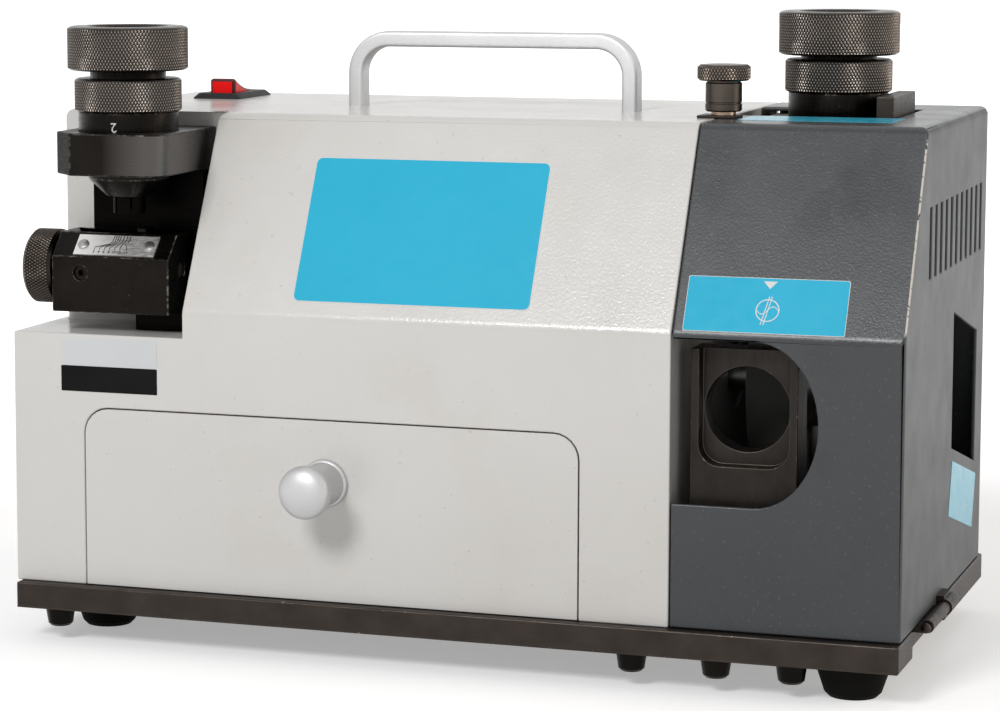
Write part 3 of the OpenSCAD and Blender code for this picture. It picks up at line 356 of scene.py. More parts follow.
def metalFinish(name, look):
    # worked steel: long tool marks, a blotchy oxide tint, uneven gloss, bare spots where it is worn, a
    # painted highlight near an upright line and painted shade that cuts the sheen left of one plane
    mat, tree, shader, coord = startFinish(name)
    blotch = remap(tree, noiseNode(tree, coord, look["blotchScale"], 6), *blotchSpan, 0, 1)
    tint = blendColour(tree, blotch, look["colour"], look["tint"])
    if "bare" in look:
        spots = past(tree, noiseNode(tree, coord, look["bareScale"], 5), look["bareLow"], 0.09)
        tint = blendColour(tree, spots, tint, look["bare"])
    # painted highlight: the tint is lightened near an upright line, where a rounded corner reflects light
    if "paintedSheen" in look:
        sheenMask = nearUpright(tree, coord, look["sheenAt"], look["sheenNear"], look["sheenFar"])
        tint = blendColour(tree, sheenMask, tint, look["paintedSheen"])
    tree.links.new(tint, shader.inputs["Base Color"])
    shader.inputs["Metallic"].default_value = look["metal"]
    # painted shade: the sheen is cut by a grey specular tint left of one plane
    if "paintedShadeTint" in look:  # less sheen at a low angle, left of one plane
        side = past(tree, placeOn(tree, coord, "X"), look["paintedShadeX"], softStep)
        tree.links.new(blendColour(tree, side, look["paintedShadeTint"], (1.0, 1.0, 1.0)), shader.inputs["Specular Tint"])
    marks = noiseNode(tree, coord, look["markScale"], 3, look["markStretch"])
    unevenGloss(tree, shader, marks, look["rough"], 0.08, 0.1)
    addBump(tree, shader, marks, look["mark"], markDeep)
    return mat


def knurlFinish(name, look):
    # crossed grooves: dark oxide low down, worn steel on the tips, by how far a point stands out
    mat, tree, shader, coord = startFinish(name)
    reach = tree.nodes.new("ShaderNodeAttribute")
    reach.attribute_name = "tip"
    rise = remap(tree, reach.outputs["Fac"], look["grooveTo"], look["tipFrom"], 0, 1)
    blotch = remap(tree, noiseNode(tree, coord, look["blotchScale"], 6), *blotchSpan, 0, 1)
    worn = blendColour(tree, blotch, look["tip"], look["tipTint"])
    tree.links.new(blendColour(tree, rise, look["groove"], worn), shader.inputs["Base Color"])
    shader.inputs["Metallic"].default_value = look["metal"]
    marks = noiseNode(tree, coord, look["markScale"], 3, look["markStretch"])
    unevenGloss(tree, shader, marks, look["rough"], 0.06, 0.08)
    addBump(tree, shader, marks, look["mark"], markDeep)
    return mat


mould = dict(toneScale=45, glossScale=220, shine=0.5)


def mouldFinish(name, look):
    # moulded surface: a fine grain and a slight change of tone
    mat, tree, shader, coord = startFinish(name)
    tone = remap(tree, noiseNode(tree, coord, mould["toneScale"], 5), *midSpan, 0, 1)
    tree.links.new(blendColour(tree, tone, look["colour"], look["tint"]), shader.inputs["Base Color"])
    unevenGloss(tree, shader, noiseNode(tree, coord, mould["glossScale"], 3), look["rough"], 0.05, 0.06)
    addBump(tree, shader, noiseNode(tree, coord, look["grainScale"], 3), look["grain"], markDeep)
    shader.inputs["Specular IOR Level"].default_value = look.get("shine", mould["shine"])
    return mat


# paint

whitePaint = paintFinish("whitePaint", dict(
    colour=(0.625, 0.612, 0.592), stain=(0.585, 0.568, 0.542), cloudScale=9, patchScale=20.7,
    dirtAndReflection=(0.50, 0.46, 0.39), dirty=0.30,
    speck=(0.26, 0.23, 0.20), speckScale=420, speckLow=0.705, speckDark=0.28,
    rough=0.20, glossScale=60, shine=0.5, peelScale=1050, peel=0.16))
greyLook = dict(
    colour=(0.053, 0.058, 0.063), stain=(0.045, 0.049, 0.053), cloudScale=13, patchScale=29.9,
    dirtAndReflection=(0.033, 0.036, 0.039), dirty=0.6,
    speck=(0.11, 0.12, 0.125), speckScale=700, speckLow=0.64, speckDark=0.4,
    rough=0.25, glossScale=60, shine=0.30, peelScale=1250, peel=0.11,
    mattX=0.1516, matt=0.19,  # dusty, so matter, right side
    # painted reflection spots near the slope's upper right
    paintedReflections=((139.0, 53.0, 0.014), (130.0, 46.0, 0.008), (121.0, 43.0, 0.008)),  # x, s in mm, reach in m
    reflectionDark=0.7, reflectionScale=130, reflectionRagged=0.004)
greyPaint = paintFinish("greyPaint", greyLook)
chippedGrey = paintFinish("chippedGrey", dict(
    greyLook, chip=(0.55, 0.52, 0.47), chipScale=620, chipLow=0.38,
    chipX=0.1517, chipZ=(0.1195, 0.1785), chipDeep=0.0006))

# steel and alloy: the stretch runs the tool marks along, across or up the piece

milled, ground, spun, evenGrain = (14, 50, 240), (8, 60, 260), (30, 120, 120), (1, 1, 1)
brownSteel = metalFinish("brownSteel", dict(
    colour=(0.047, 0.037, 0.031), tint=(0.027, 0.022, 0.019), blotchScale=70,
    metal=0.85, rough=0.46, mark=0.14, markScale=9, markStretch=ground))
wornBrown = metalFinish("wornBrown", dict(
    colour=(0.055, 0.044, 0.037), tint=(0.032, 0.026, 0.022), blotchScale=90,
    metal=0.85, rough=0.40, mark=0.14, markScale=9, markStretch=ground,
    bare=(0.20, 0.18, 0.16), bareScale=520, bareLow=0.64))
blackOxide = metalFinish("blackOxide", dict(
    colour=(0.0065, 0.0055, 0.0046), tint=(0.012, 0.010, 0.0085), blotchScale=60,
    metal=0.95, rough=0.34, mark=0.12, markScale=8, markStretch=milled,
    bare=(0.11, 0.10, 0.09), bareScale=900, bareLow=0.70))
# painted shade: a grey sheen tint darkens the gauge arm's reflections left of one plane
armShadeTint = (0.62, 0.62, 0.62)
# the gauge arm's oxide, with a painted highlight on its rounded front corner
oxideWithPaintedSheen = metalFinish("oxideWithPaintedSheen", dict(
    colour=(0.0075, 0.0065, 0.0055), tint=(0.013, 0.011, 0.009), blotchScale=60,
    metal=0.95, rough=0.34, mark=0.16, markScale=8, markStretch=milled,
    paintedSheen=(0.108, 0.099, 0.092), sheenAt=(-95.4, 3.0), sheenNear=0.005, sheenFar=0.024,
    paintedShadeTint=armShadeTint, paintedShadeX=-0.1308))
wornLook = dict(
    colour=(0.012, 0.010, 0.009), tint=(0.022, 0.019, 0.016), blotchScale=90,
    metal=0.95, rough=0.32, mark=0.12, markScale=8, markStretch=milled,
    bare=(0.11, 0.10, 0.092), bareScale=600, bareLow=0.50)
wornOxide = metalFinish("wornOxide", wornLook)
# worn oxide on the arm's rounded edges, with the same painted shade on its sheen
armEdge = metalFinish("armEdge", dict(wornLook, bare=(0.05, 0.045, 0.041), paintedShadeTint=armShadeTint, paintedShadeX=-0.1300))
# black oxide darkened to near black, with its sheen cut: painted shade under the gauge arm, on the post and
# the collet
shadedPostOxide = metalFinish("shadedPostOxide", dict(
    colour=(0.0016, 0.0014, 0.0012), tint=(0.0035, 0.003, 0.0026), blotchScale=60,
    metal=0.95, rough=0.36, mark=0.12, markScale=8, markStretch=milled,
    paintedShadeTint=(0.5, 0.5, 0.5), paintedShadeX=0.2))  # the plane is past the object, so all of it is dull
# brown steel darkened: its own colour with painted shade from the cover over the port blocks and column
shadedPortSteel = metalFinish("shadedPortSteel", dict(
    colour=(0.031, 0.0265, 0.0225), tint=(0.017, 0.014, 0.0125), blotchScale=60,
    metal=0.85, rough=0.44, mark=0.14, markScale=9, markStretch=(60, 60, 8)))
brightSteel = metalFinish("brightSteel", dict(
    colour=(0.36, 0.355, 0.345), tint=(0.28, 0.275, 0.265), blotchScale=50,
    metal=0.95, rough=0.36, mark=0.1, markScale=8, markStretch=(12, 60, 240)))
plateAluminium = metalFinish("plateAluminium", dict(
    colour=(0.70, 0.69, 0.675), tint=(0.62, 0.61, 0.595), blotchScale=90,
    metal=0.95, rough=0.42, mark=0.05, markScale=12, markStretch=spun))
satinAluminium = metalFinish("satinAluminium", dict(
    colour=(0.56, 0.56, 0.565), tint=(0.49, 0.49, 0.492), blotchScale=30,
    metal=0.75, rough=0.47, mark=0.05, markScale=12, markStretch=spun))
handleAluminium = metalFinish("handleAluminium", dict(
    colour=(0.58, 0.58, 0.585), tint=(0.52, 0.52, 0.522), blotchScale=30,
    metal=0.95, rough=0.50, mark=0.05, markScale=12, markStretch=spun))
castAlloy = metalFinish("castAlloy", dict(
    colour=(0.42, 0.42, 0.41), tint=(0.35, 0.35, 0.34), blotchScale=120,
    metal=0.8, rough=0.52, mark=0.3, markScale=300, markStretch=evenGrain))
brassCollar = metalFinish("brassCollar", dict(
    colour=(0.52, 0.38, 0.28), tint=(0.40, 0.27, 0.18), blotchScale=160,
    metal=0.9, rough=0.34, mark=0.08, markScale=30, markStretch=(3, 3, 60)))

# knurled grips: groove and tip colours, and where between them the wear starts and ends

knurlOxide = knurlFinish("knurlOxide", dict(
    groove=(0.006, 0.005, 0.004), tip=(0.20, 0.178, 0.160), tipTint=(0.14, 0.12, 0.106), blotchScale=40,
    grooveTo=0.18, tipFrom=0.85, metal=1.0, rough=0.28, mark=0.05, markScale=200, markStretch=evenGrain))
knurlDark = knurlFinish("knurlDark", dict(
    groove=(0.006, 0.005, 0.004), tip=(0.105, 0.088, 0.075), tipTint=(0.07, 0.057, 0.047), blotchScale=60,
    grooveTo=0.18, tipFrom=0.85, metal=1.0, rough=0.28, mark=0.05, markScale=200, markStretch=evenGrain))
knurlSteel = knurlFinish("knurlSteel", dict(
    groove=(0.010, 0.008, 0.006), tip=(0.215, 0.182, 0.155), tipTint=(0.145, 0.12, 0.10), blotchScale=80,
    grooveTo=0.12, tipFrom=0.80, metal=1.0, rough=0.31, mark=0.08, markScale=30, markStretch=(2, 2, 30)))

# rubber, plastic, film and ink

wheelRim = mouldFinish("wheelRim", dict(
    colour=(0.09, 0.09, 0.086), tint=(0.13, 0.13, 0.12), rough=0.8, grainScale=1400, grain=0.6))
footRubber = mouldFinish("footRubber", dict(
    colour=(0.005, 0.005, 0.004), tint=(0.009, 0.0085, 0.008), rough=0.72, shine=0.06,
    grainScale=900, grain=0.25))
blackPlastic = mouldFinish("blackPlastic", dict(
    colour=(0.011, 0.011, 0.012), tint=(0.019, 0.019, 0.020), rough=0.46, shine=0.15,
    grainScale=1300, grain=0.2))
redPlastic = mouldFinish("redPlastic", dict(
    colour=(0.98, 0.009, 0.008), tint=(0.88, 0.006, 0.006), rough=0.24, shine=0.12,
    grainScale=500, grain=0.02))
redEdge = mouldFinish("redEdge", dict(
    colour=(0.075, 0.006, 0.006), tint=(0.045, 0.005, 0.005), rough=0.30, shine=0.3,
    grainScale=500, grain=0.02))
blueFilm = mouldFinish("blueFilm", dict(
    colour=(0.015, 0.418, 0.625), tint=(0.012, 0.40, 0.60), rough=0.44, shine=0.2,
    grainScale=600, grain=0.05))
glossFilm = mouldFinish("glossFilm", dict(
    colour=(0.06, 0.44, 0.62), tint=(0.04, 0.42, 0.59), rough=0.22, shine=0.45,
    grainScale=260, grain=0.10))
noteFilm = mouldFinish("noteFilm", dict(
    colour=(0.60, 0.615, 0.63), tint=(0.57, 0.585, 0.60), rough=0.36, shine=0.4,
    grainScale=600, grain=0.05))
paleFilm = mouldFinish("paleFilm", dict(
    colour=(0.66, 0.655, 0.645), tint=(0.62, 0.615, 0.605), rough=0.42, shine=0.3,
    grainScale=600, grain=0.05))
blackFilm = mouldFinish("blackFilm", dict(
    colour=(0.004, 0.004, 0.004), tint=(0.007, 0.007, 0.007), rough=0.5, shine=0.08,
    grainScale=600, grain=0.05))
scaleInk = mouldFinish("scaleInk", dict(
    colour=(0.010, 0.010, 0.010), tint=(0.02, 0.02, 0.02), rough=0.6, shine=0.2,
    grainScale=600, grain=0.05))
print("finishes ready")

finishOf = {
    "white_paint": whitePaint, "grey_paint": greyPaint, "dark_steel": brownSteel, "black_oxide": blackOxide,
    "bright_steel": brightSteel, "aluminium": satinAluminium, "cast_alloy": castAlloy, "rubber": footRubber,
    "black_plastic": blackPlastic, "red_plastic": redPlastic, "abrasive": wheelRim,
}
ownFinish = {  # solids with a finish of their own
    "gauge_arm": oxideWithPaintedSheen, "gauge_post": shadedPostOxide, "left_collet": shadedPostOxide,
    "scale_plate": plateAluminium, "front_port_block": shadedPortSteel, "side_port_block": shadedPortSteel,
    "port_column": shadedPortSteel,
}
for part in frame["record"]["subparts"]:
    mesh = nodes[part["node"]].data
    mesh.materials.clear()
    mesh.materials.append(ownFinish.get(part["node"], finishOf[part["material_slot"]]))

# edge rounding of the solids that stay, in mm, with the finish of the rounded edge
edges = {
    "main_housing": (0.6, None), "wheel_cover": (0.6, chippedGrey), "drawer_front": (0.15, None),
    "base_plate": (0.6, wornBrown), "gauge_arm": (0.6, armEdge), "gauge_post": (0.5, None),
    "scale_block": (0.5, wornOxide), "stop_block": (0.4, wornBrown), "top_seat": (0.4, wornBrown),
    "front_port_block": (0.4, wornBrown), "side_port_block": (0.4, wornBrown), "rear_panel": (0.4, None),
    "latch_plate": (0.3, None), "setting_slide": (0.3, None), "switch_rocker": (1.1, redEdge),
    "power_inlet": (0.5, None), "port_column": (0.5, None), "left_chuck_body": (0.3, wornOxide),
    "right_chuck_body": (0.3, wornOxide),
}
for nodeName, (width, worn) in edges.items():
    soften(nodeName, width, worn)
print("edges rounded on", len(edges), "solids")

# chucks: a knurled cap with a cup on top and a tube below, over a knurled ring

chuck = dict(
    capR=20.7, capH=15.0, cupR=13.5, cupDeep=2.5, cupFillet=0.4, lip=0.5, land=1.6, footLand=1.3,
    shoulderR=0.5, shoulderH=0.35, collar=13.3, neckIn=8.0, roofGap=0.3, tubeR=6.0, boreR=4.0, tubeFoot=-8.2,
    ringR=18.4, ringH=11.5, ringLand=1.2, ringShoulderR=0.45, ringShoulderH=0.3, flangeH=9.5, neckR=13.0,
    bevel=0.8, root=0.12)
chuckPlaces = {
    "left": dict(centre=(-116.4, 14.0), seatZ=176.1, gap=2.7),
    "right": dict(centre=(111.0, 106.0), seatZ=181.7, gap=1.4),
}


def capProfile(gap):
    c = chuck
    z0 = c["flangeH"] + c["ringH"] + gap
    z1 = z0 + c["capH"]
    low, high = z0 + c["bevel"], z1 - c["bevel"]
    roof = z0 + c["neckIn"] - gap + c["roofGap"]
    floor = z1 - c["cupDeep"]
    rim = [(c["boreR"], c["tubeFoot"]), (c["boreR"], floor), (c["cupR"] - c["cupFillet"], floor),
           (c["cupR"], floor + c["cupFillet"]), (c["cupR"], z1 - c["lip"]), (c["cupR"] + c["lip"], z1),
           (c["capR"] - c["land"], z1), (c["capR"] - c["shoulderR"], z1 - c["shoulderH"]),
           (c["capR"] - c["root"], high)]
    skirt = [(c["capR"] - c["root"], low), (c["capR"] - c["shoulderR"], z0 + c["shoulderH"]),
             (c["capR"] - c["footLand"], z0), (c["collar"], z0), (c["collar"], roof),
             (c["tubeR"], roof), (c["tubeR"], c["tubeFoot"])]
    return rim + knurlRows(c["capR"], low, high)[::-1] + skirt, low, high


def ringProfile():
    c = chuck
    z0, z1 = c["flangeH"], c["flangeH"] + c["ringH"]
    low, high = z0 + c["bevel"], z1 - c["bevel"]
    shoulder = c["ringR"] - c["ringShoulderR"]
    top = [(c["neckR"], z0), (c["neckR"], z1), (c["ringR"] - c["ringLand"], z1),
           (shoulder, z1 - c["ringShoulderH"]), (c["ringR"] - c["root"], high)]
    foot = [(c["ringR"] - c["root"], low), (shoulder, z0 + c["ringShoulderH"]),
            (c["ringR"] - c["ringLand"], z0)]
    return top + knurlRows(c["ringR"], low, high)[::-1] + foot, low, high


def chuckPieces(side, place):
    at = (*place["centre"], place["seatZ"])
    profile, low, high = capProfile(place["gap"])
    turned(side + "_knurled_cap", profile, at, "z", knurlOxide, side + "_clamp",
           (side + "_cap",), turns=knurlTurns(chuck["capR"]),
           relief=diamondKnurl(chuck["capR"], low, high))
    profile, low, high = ringProfile()
    turned(side + "_knurled_ring", profile, at, "z", knurlOxide, side + "_chuck",
           (side + "_grip_ring",), turns=knurlTurns(chuck["ringR"]),
           relief=diamondKnurl(chuck["ringR"], low, high))


for side, place in chuckPlaces.items():
    chuckPieces(side, place)
print("chucks knurled")

# thumb screw of the cover

thumb = dict(
    at=(80.1, 66.0, 184.0), headR=9.0, headH=5.4, headBevel=0.9, dishR=2.2, dishDeep=0.35,
    bodyR=6.2, bodyH=10.4, neckR=3.8, neckH=2.2, tip=7.0, shankR=2.5, lift=0.05,
    chamfer=0.5, under=0.9, grooveZ=(2.6, 2.8, 3.1, 3.3), grooveDeep=0.25, bevel=0.7, root=0.15)
sleeve = dict(gap=0.06, wall=0.3, z=(1.05, 1.1, 2.1, 2.15))


def thumbPieces():
    # from the tip up: shank, neck, a body with one turned groove, then the knurled head with a dished top
    t = thumb
    h0 = t["neckH"] + t["bodyH"]
    h1 = h0 + t["headH"]
    low, high = h0 + t["bevel"], h1 - t["bevel"]
    cut = t["chamfer"]
    groove = [t["neckH"] + z for z in t["grooveZ"]]
    profile = [(0.0, -t["tip"]), (t["shankR"] - cut, -t["tip"]), (t["shankR"], -t["tip"] + cut),
               (t["shankR"], t["lift"]), (t["neckR"], t["lift"]), (t["neckR"], t["neckH"]),
               (t["bodyR"] - cut, t["neckH"]), (t["bodyR"], t["neckH"] + cut), (t["bodyR"], groove[0]),
               (t["bodyR"] - t["grooveDeep"], groove[1]), (t["bodyR"] - t["grooveDeep"], groove[2]),
               (t["bodyR"], groove[3]), (t["bodyR"], h0 - t["under"]), (t["bodyR"] - cut, h0 - cut),
               (t["bodyR"] - cut, h0), (t["headR"] - t["headBevel"], h0), (t["headR"] - t["root"], low)]
    profile += knurlRows(t["headR"], low, high)
    profile += [(t["headR"] - t["root"], high), (t["headR"] - t["headBevel"], h1),
                (t["headR"] - t["dishR"], h1), (0.0, h1 - t["dishDeep"])]
    turned("latch_thumb_screw", profile, t["at"], "z", knurlSteel, "latch", ("thumb_screw",),
           turns=knurlTurns(t["headR"]), relief=diamondKnurl(t["headR"], low, high), ring=False)
    inner = t["neckR"] + sleeve["gap"]
    outer = inner + sleeve["wall"]
    band = list(zip((inner, outer, outer, inner), sleeve["z"]))
    turned("latch_neck_sleeve", band, t["at"], "z", brassCollar, "latch")


thumbPieces()

# gauge knob and scale

dial = dict(at=(-154.7, 20.0, 130.5), r=13.0, l=10.5, bevel=1.1, root=0.15,
            dishR=3.2, dishRim=2.6, dishDeep=0.6)


def dialKnob():
    # from the outer end in: a shallow dish, a bevelled rim, the knurl, then the flat back
    d = dial
    low, high = d["bevel"], d["l"] - d["bevel"]
    profile = [(0.0, d["dishDeep"]), (d["r"] - d["dishR"], d["dishDeep"]), (d["r"] - d["dishRim"], 0.0),
               (d["r"] - d["bevel"], 0.0), (d["r"] - d["root"], low)]
    profile += knurlRows(d["r"], low, high)
    profile += [(d["r"] - d["root"], high), (d["r"] - d["bevel"], d["l"]), (0.0, d["l"])]
    turned("gauge_dial_knob", profile, d["at"], "x", knurlDark, "gauge_drive", ("gauge_knob",),
           turns=knurlTurns(d["r"]), relief=diamondKnurl(d["r"], low, high), ring=False)


dialKnob()

scale = dict(
    x0=-135.4, y0=8.0, z0=135.2, width=30.2, middle=5.2, lift=0.62, lineWidth=0.28, lineThick=0.03,
    lineV=(3.1, 4.2, 5.6, 6.8, 9.4), corner=1.0, numberV=2.1, numberSize=1.6,
    numbers=("3", "4", "6", "8", "10", "12", "14"),
    lowU=(7.4, 9.3, 11.2, 13.1, 15.0, 16.9, 19.4), highU=(13.3, 14.2, 15.0, 15.8, 17.0, 18.2, 19.4))
halfRoot = math.sqrt(0.5)  # the plate slopes at 45 degrees
scaleUp = (0, halfRoot, halfRoot)


def onScale(u, v, lift):  # u along the plate, v up its slope, lift off its face
    return (scale["x0"] + u, scale["y0"] + v * halfRoot - lift * halfRoot,
            scale["z0"] + v * halfRoot + lift * halfRoot)


def scaleLine(name, low, high):
    # a thin band along a bent line, from a number to the plate's top, offset half a width to both sides
    path = np.stack([(low, low, high - scale["corner"], high, high), scale["lineV"]], axis=-1)
    step = np.gradient(path, axis=0)
    step /= np.linalg.norm(step, axis=1, keepdims=True)
    offset = np.stack([-step[:, 1], step[:, 0]], axis=-1) * scale["lineWidth"] / 2
    outline = np.concatenate([path + offset, (path - offset)[::-1]])
    slab(name, outline, onScale(0, 0, scale["lift"]), alongX, scaleUp, scale["lineThick"], scaleInk,
         "machine")


for k, (low, high) in enumerate(zip(scale["lowU"], scale["highU"])):
    scaleLine(f"scale_line_{k}", low, high)

rivet = dict(r=2.0, h=0.8, sag=0.45, inset=2.7, base=0.6, rings=9, turns=40)


def scaleRivets():
    # flat domes: height falls off with the square of the radius, down to a short straight rim
    t = np.linspace(0, 1, rivet["rings"])
    radius = np.concatenate([rivet["r"] * t, [rivet["r"], 0.0]])
    height = np.concatenate([rivet["h"] - rivet["sag"] * rivet["h"] * t ** 2, [0.0, 0.0]])
    a = np.linspace(0, 2 * np.pi, rivet["turns"], endpoint=False)[:, None]
    u, v = radius * np.cos(a), radius * np.sin(a)
    lift = np.broadcast_to(height + rivet["base"], u.shape)
    faces = np.array(gridFaces(rivet["turns"], len(radius), True, False))
    ends = (rivet["inset"], scale["width"] - rivet["inset"])
    domes = [np.stack(onScale(u + at, v + scale["middle"], lift), axis=-1).reshape(-1, 3) for at in ends]
    both = np.concatenate([faces, faces + len(domes[0])]).tolist()
    putMesh("scale_rivet_heads", np.concatenate(domes), both, brightSteel, "machine",
            ("scale_rivets",), sharp=40)


scaleRivets()

figure = dict(thick=0.03, lift=0.02, word="2", size=4.6, angle=7, r=17.15, up=5.0)


def numberMesh(name, body, word, size, material, shape):
    # a figure is drawn as text, made a mesh, then laid on its surface by shape
    curve = bpy.data.curves.new(name, "FONT")
    curve.body, curve.size, curve.extrude = word, size, figure["thick"]
    curve.align_x, curve.align_y = "CENTER", "CENTER"
    holder = bpy.data.objects.new(name, curve)
    bpy.context.scene.collection.objects.link(holder)
    bpy.context.view_layer.update()
    mesh = bpy.data.meshes.new_from_object(holder.evaluated_get(bpy.context.evaluated_depsgraph_get()))
    bpy.data.objects.remove(holder)
    co = np.empty(len(mesh.vertices) * 3)
    mesh.vertices.foreach_get("co", co)
    mesh.vertices.foreach_set("co", toRow(shape(co.reshape(-1, 3))).ravel())
    mesh.materials.clear()
    mesh.materials.append(material)
    obj = bpy.data.objects.new(name, mesh)
    bpy.context.scene.collection.objects.link(obj)
    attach(obj, body)
    return obj


def onPlate(u, v):
    def shape(co):
        lift = scale["lift"] + figure["lift"] + co[:, 2]
        return np.stack(onScale(u + co[:, 0], v + co[:, 1], lift), axis=-1)
    return shape


def onFlange(angle, radius, centre, z):
    def shape(co):  # the figure is wrapped round the flange, upside down as it is read from above
        a = angle - co[:, 0] / radius
        r = radius + figure["lift"] + co[:, 2]
        return np.stack([centre[0] + r * np.sin(a), centre[1] - r * np.cos(a), z - co[:, 1]], axis=-1)
    return shape


for word, u in zip(scale["numbers"], scale["lowU"]):
    numberMesh(f"scale_number_{word}", "machine", word, scale["numberSize"], scaleInk,
               onPlate(u, scale["numberV"]))
leftChuck = chuckPlaces["left"]
numberMesh("chuck_figure", "left_chuck", figure["word"], figure["size"], paleFilm, onFlange(
    math.radians(figure["angle"]), figure["r"], leftChuck["centre"], leftChuck["seatZ"] + figure["up"]))
print("gauge marked")

# drawer knob: footEdge and under are steps in radius from the foot and the head, each at a height

pull = dict(
    at=(-41.0, 4.0, 62.0), r=9.0, l=24.0, foot=8.2, stem=6.7, screwR=2.0, screwIn=1.5, headR=4.0, headIn=4.0,
    footEdge=((-0.3, 0.0), (0.0, 0.3), (0.0, 1.2), (-0.25, 1.6), (-0.8, 1.9), (-0.9, 2.4)),
    waistStep=1.1, waistZ=2.8, waistH=12.4, waistRows=14,
    under=((-2.4, 15.9), (-1.1, 16.7), (-0.35, 17.6), (0.0, 18.6)), domeH=4.6, domePower=0.85, domeRows=18)


def drawerPull():
    # from the screw inside the front: head, shank, foot, a waist that narrows by a square law, a domed head
    p = pull
    inside = np.array([[0, -p["headIn"]], [p["headR"], -p["headIn"]], [p["headR"], -p["screwIn"]],
                       [p["screwR"], -p["screwIn"]], [p["screwR"], 0]])
    foot = np.array(p["footEdge"]) + [p["foot"], 0]
    u = np.linspace(0, 1, p["waistRows"])
    waistR = p["stem"] + (p["foot"] - p["waistStep"] - p["stem"]) * (1 - u) ** 2
    waist = np.stack([waistR, p["waistZ"] + p["waistH"] * u], axis=-1)
    under = np.array(p["under"]) + [p["r"], 0]
    a = np.linspace(0, np.pi / 2, p["domeRows"])
    domeZ = p["l"] - p["domeH"] + p["domeH"] * np.sin(a)
    dome = np.stack([p["r"] * np.cos(a) ** p["domePower"], domeZ], axis=-1)
    dome[-1, 0] = 0.0
    profile = np.concatenate([inside, foot, waist, under, dome])
    turned("drawer_pull", profile, p["at"], "y", satinAluminium, "drawer", ("drawer_knob",),
           ring=False, sharp=40)


drawerPull()

# handle

grip = dict(x=-9.7, y=92.0, z=184.0, w=107.0, h=27.0, t=5.6, deep=8.6, r=15.0, squareness=0.32,
            cornerRows=14, roundRows=64)


def carryHandle():
    # a flat oval is carried along a U: up the left leg, round two corners, down the right leg
    g = grip
    half = g["w"] / 2 - g["t"] / 2
    cornerR = g["r"] - g["t"] / 2
    crown = g["h"] - g["t"] / 2
    a = np.linspace(np.pi, np.pi / 2, g["cornerRows"])
    left = np.stack([-half + cornerR + cornerR * np.cos(a), crown - cornerR + cornerR * np.sin(a)], axis=-1)
    path = np.concatenate([[[-half, 0.0]], left, (left * [-1, 1])[::-1], [[half, 0.0]]])
    step = np.gradient(path, axis=0)
    step /= np.linalg.norm(step, axis=1, keepdims=True)
    out = np.stack([-step[:, 1], step[:, 0]], axis=-1)
    out[0], out[-1] = (-1, 0), (1, 0)
    s = np.linspace(0, 2 * np.pi, g["roundRows"], endpoint=False)
    across = np.sign(np.cos(s)) * np.abs(np.cos(s)) ** g["squareness"] * g["t"] / 2
    along = np.sign(np.sin(s)) * np.abs(np.sin(s)) ** g["squareness"] * g["deep"] / 2
    x = g["x"] + path[:, None, 0] + out[:, None, 0] * across[None, :]
    z = g["z"] + path[:, None, 1] + out[:, None, 1] * across[None, :]
    y = np.broadcast_to(g["y"] + along[None, :], x.shape)
    points = np.stack([x, y, z], axis=-1)
    nu, nv = x.shape
    faces = gridFaces(nu, nv, False, True) + [list(range(nv)), list(range((nu - 1) * nv, nu * nv))]
    putMesh("carry_bar", points.reshape(-1, 3), faces, handleAluminium, "machine",
            ("carry_handle",), sharp=50)


carryHandle()
print("handle and pull made")

# switch frame: width, depth, corner radius and height of each outline, from the rim round into the body

toggle = dict(at=(-125.3, 130.2, 184.0), outlines=(
    (19.0, 34.0, 2.0, 0.0), (18.6, 33.6, 2.0, 0.5), (15.6, 30.6, 1.6, 2.0), (10.6, 22.6, 0.8, 2.0),
    (10.6, 22.6, 0.8, -11.0), (14.0, 26.0, 0.8, -14.0), (14.0, 26.0, 0.8, 0.0)))


def switchFrame():
    # rounded rectangles, joined one to the next and back to the first, make the sloped rim and the body
    loops = []
    for w, d, r, z in toggle["outlines"]:
        flat = roundedRect(w, d, r)
        loops.append(np.concatenate([flat, np.full((len(flat), 1), z)], axis=1) + toggle["at"])
    points = np.stack(loops)
    nu, nv = points.shape[:2]
    putMesh("switch_frame", points.reshape(-1, 3), gridFaces(nu, nv, True, True), blackPlastic,
            "machine", ("switch_bezel",), sharp=40)


switchFrame()

# plain panels on the slope, each a blue face a little smaller than its pale edge

panelThick, faceLift = 0.10, 0.05
slopePanels = {
    "front_panel": dict(x=-11.8, s=32.3, w=83.5, h=53.0, r=2.0, border=0.5,
                        body="machine", slot="white_paint"),
    "cover_panel": dict(x=108.6, s=10.9, w=53.0, h=19.2, r=0.8, border=0.4,
                        body="cover", slot="grey_paint"),
}
for name, p in slopePanels.items():
    layers = ((name + "_edge", 0.0, 0.0, paleFilm), (name, p["border"], faceLift, blueFilm))
    for layer, less, lift, film in layers:
        outline = roundedRect(p["w"] - less, p["h"] - less, p["r"])
        origin = onSlope(p["x"], p["s"], lift)
        slab(layer, outline, origin, alongX, slopeUp, panelThick, film, p["body"])

sign = dict(
    right=0.6, lift=0.12, pointer=((-2.3, 8.4), (0.0, 5.8), (2.3, 8.4)), pointerThick=0.04,
    middle=-1.6, ringR=3.9, ringIn=3.55, ringThick=0.04, ringTurns=48,
    bar=((-1.5, -6.6), (-1.2, -6.6), (0.8, 3.2), (0.5, 3.2)), barShift=(-0.45, 0.45), barThick=0.05,
    waveR=3.6, waveH=1.3, waveHalf=0.15, waveRows=15, waveThick=0.06)


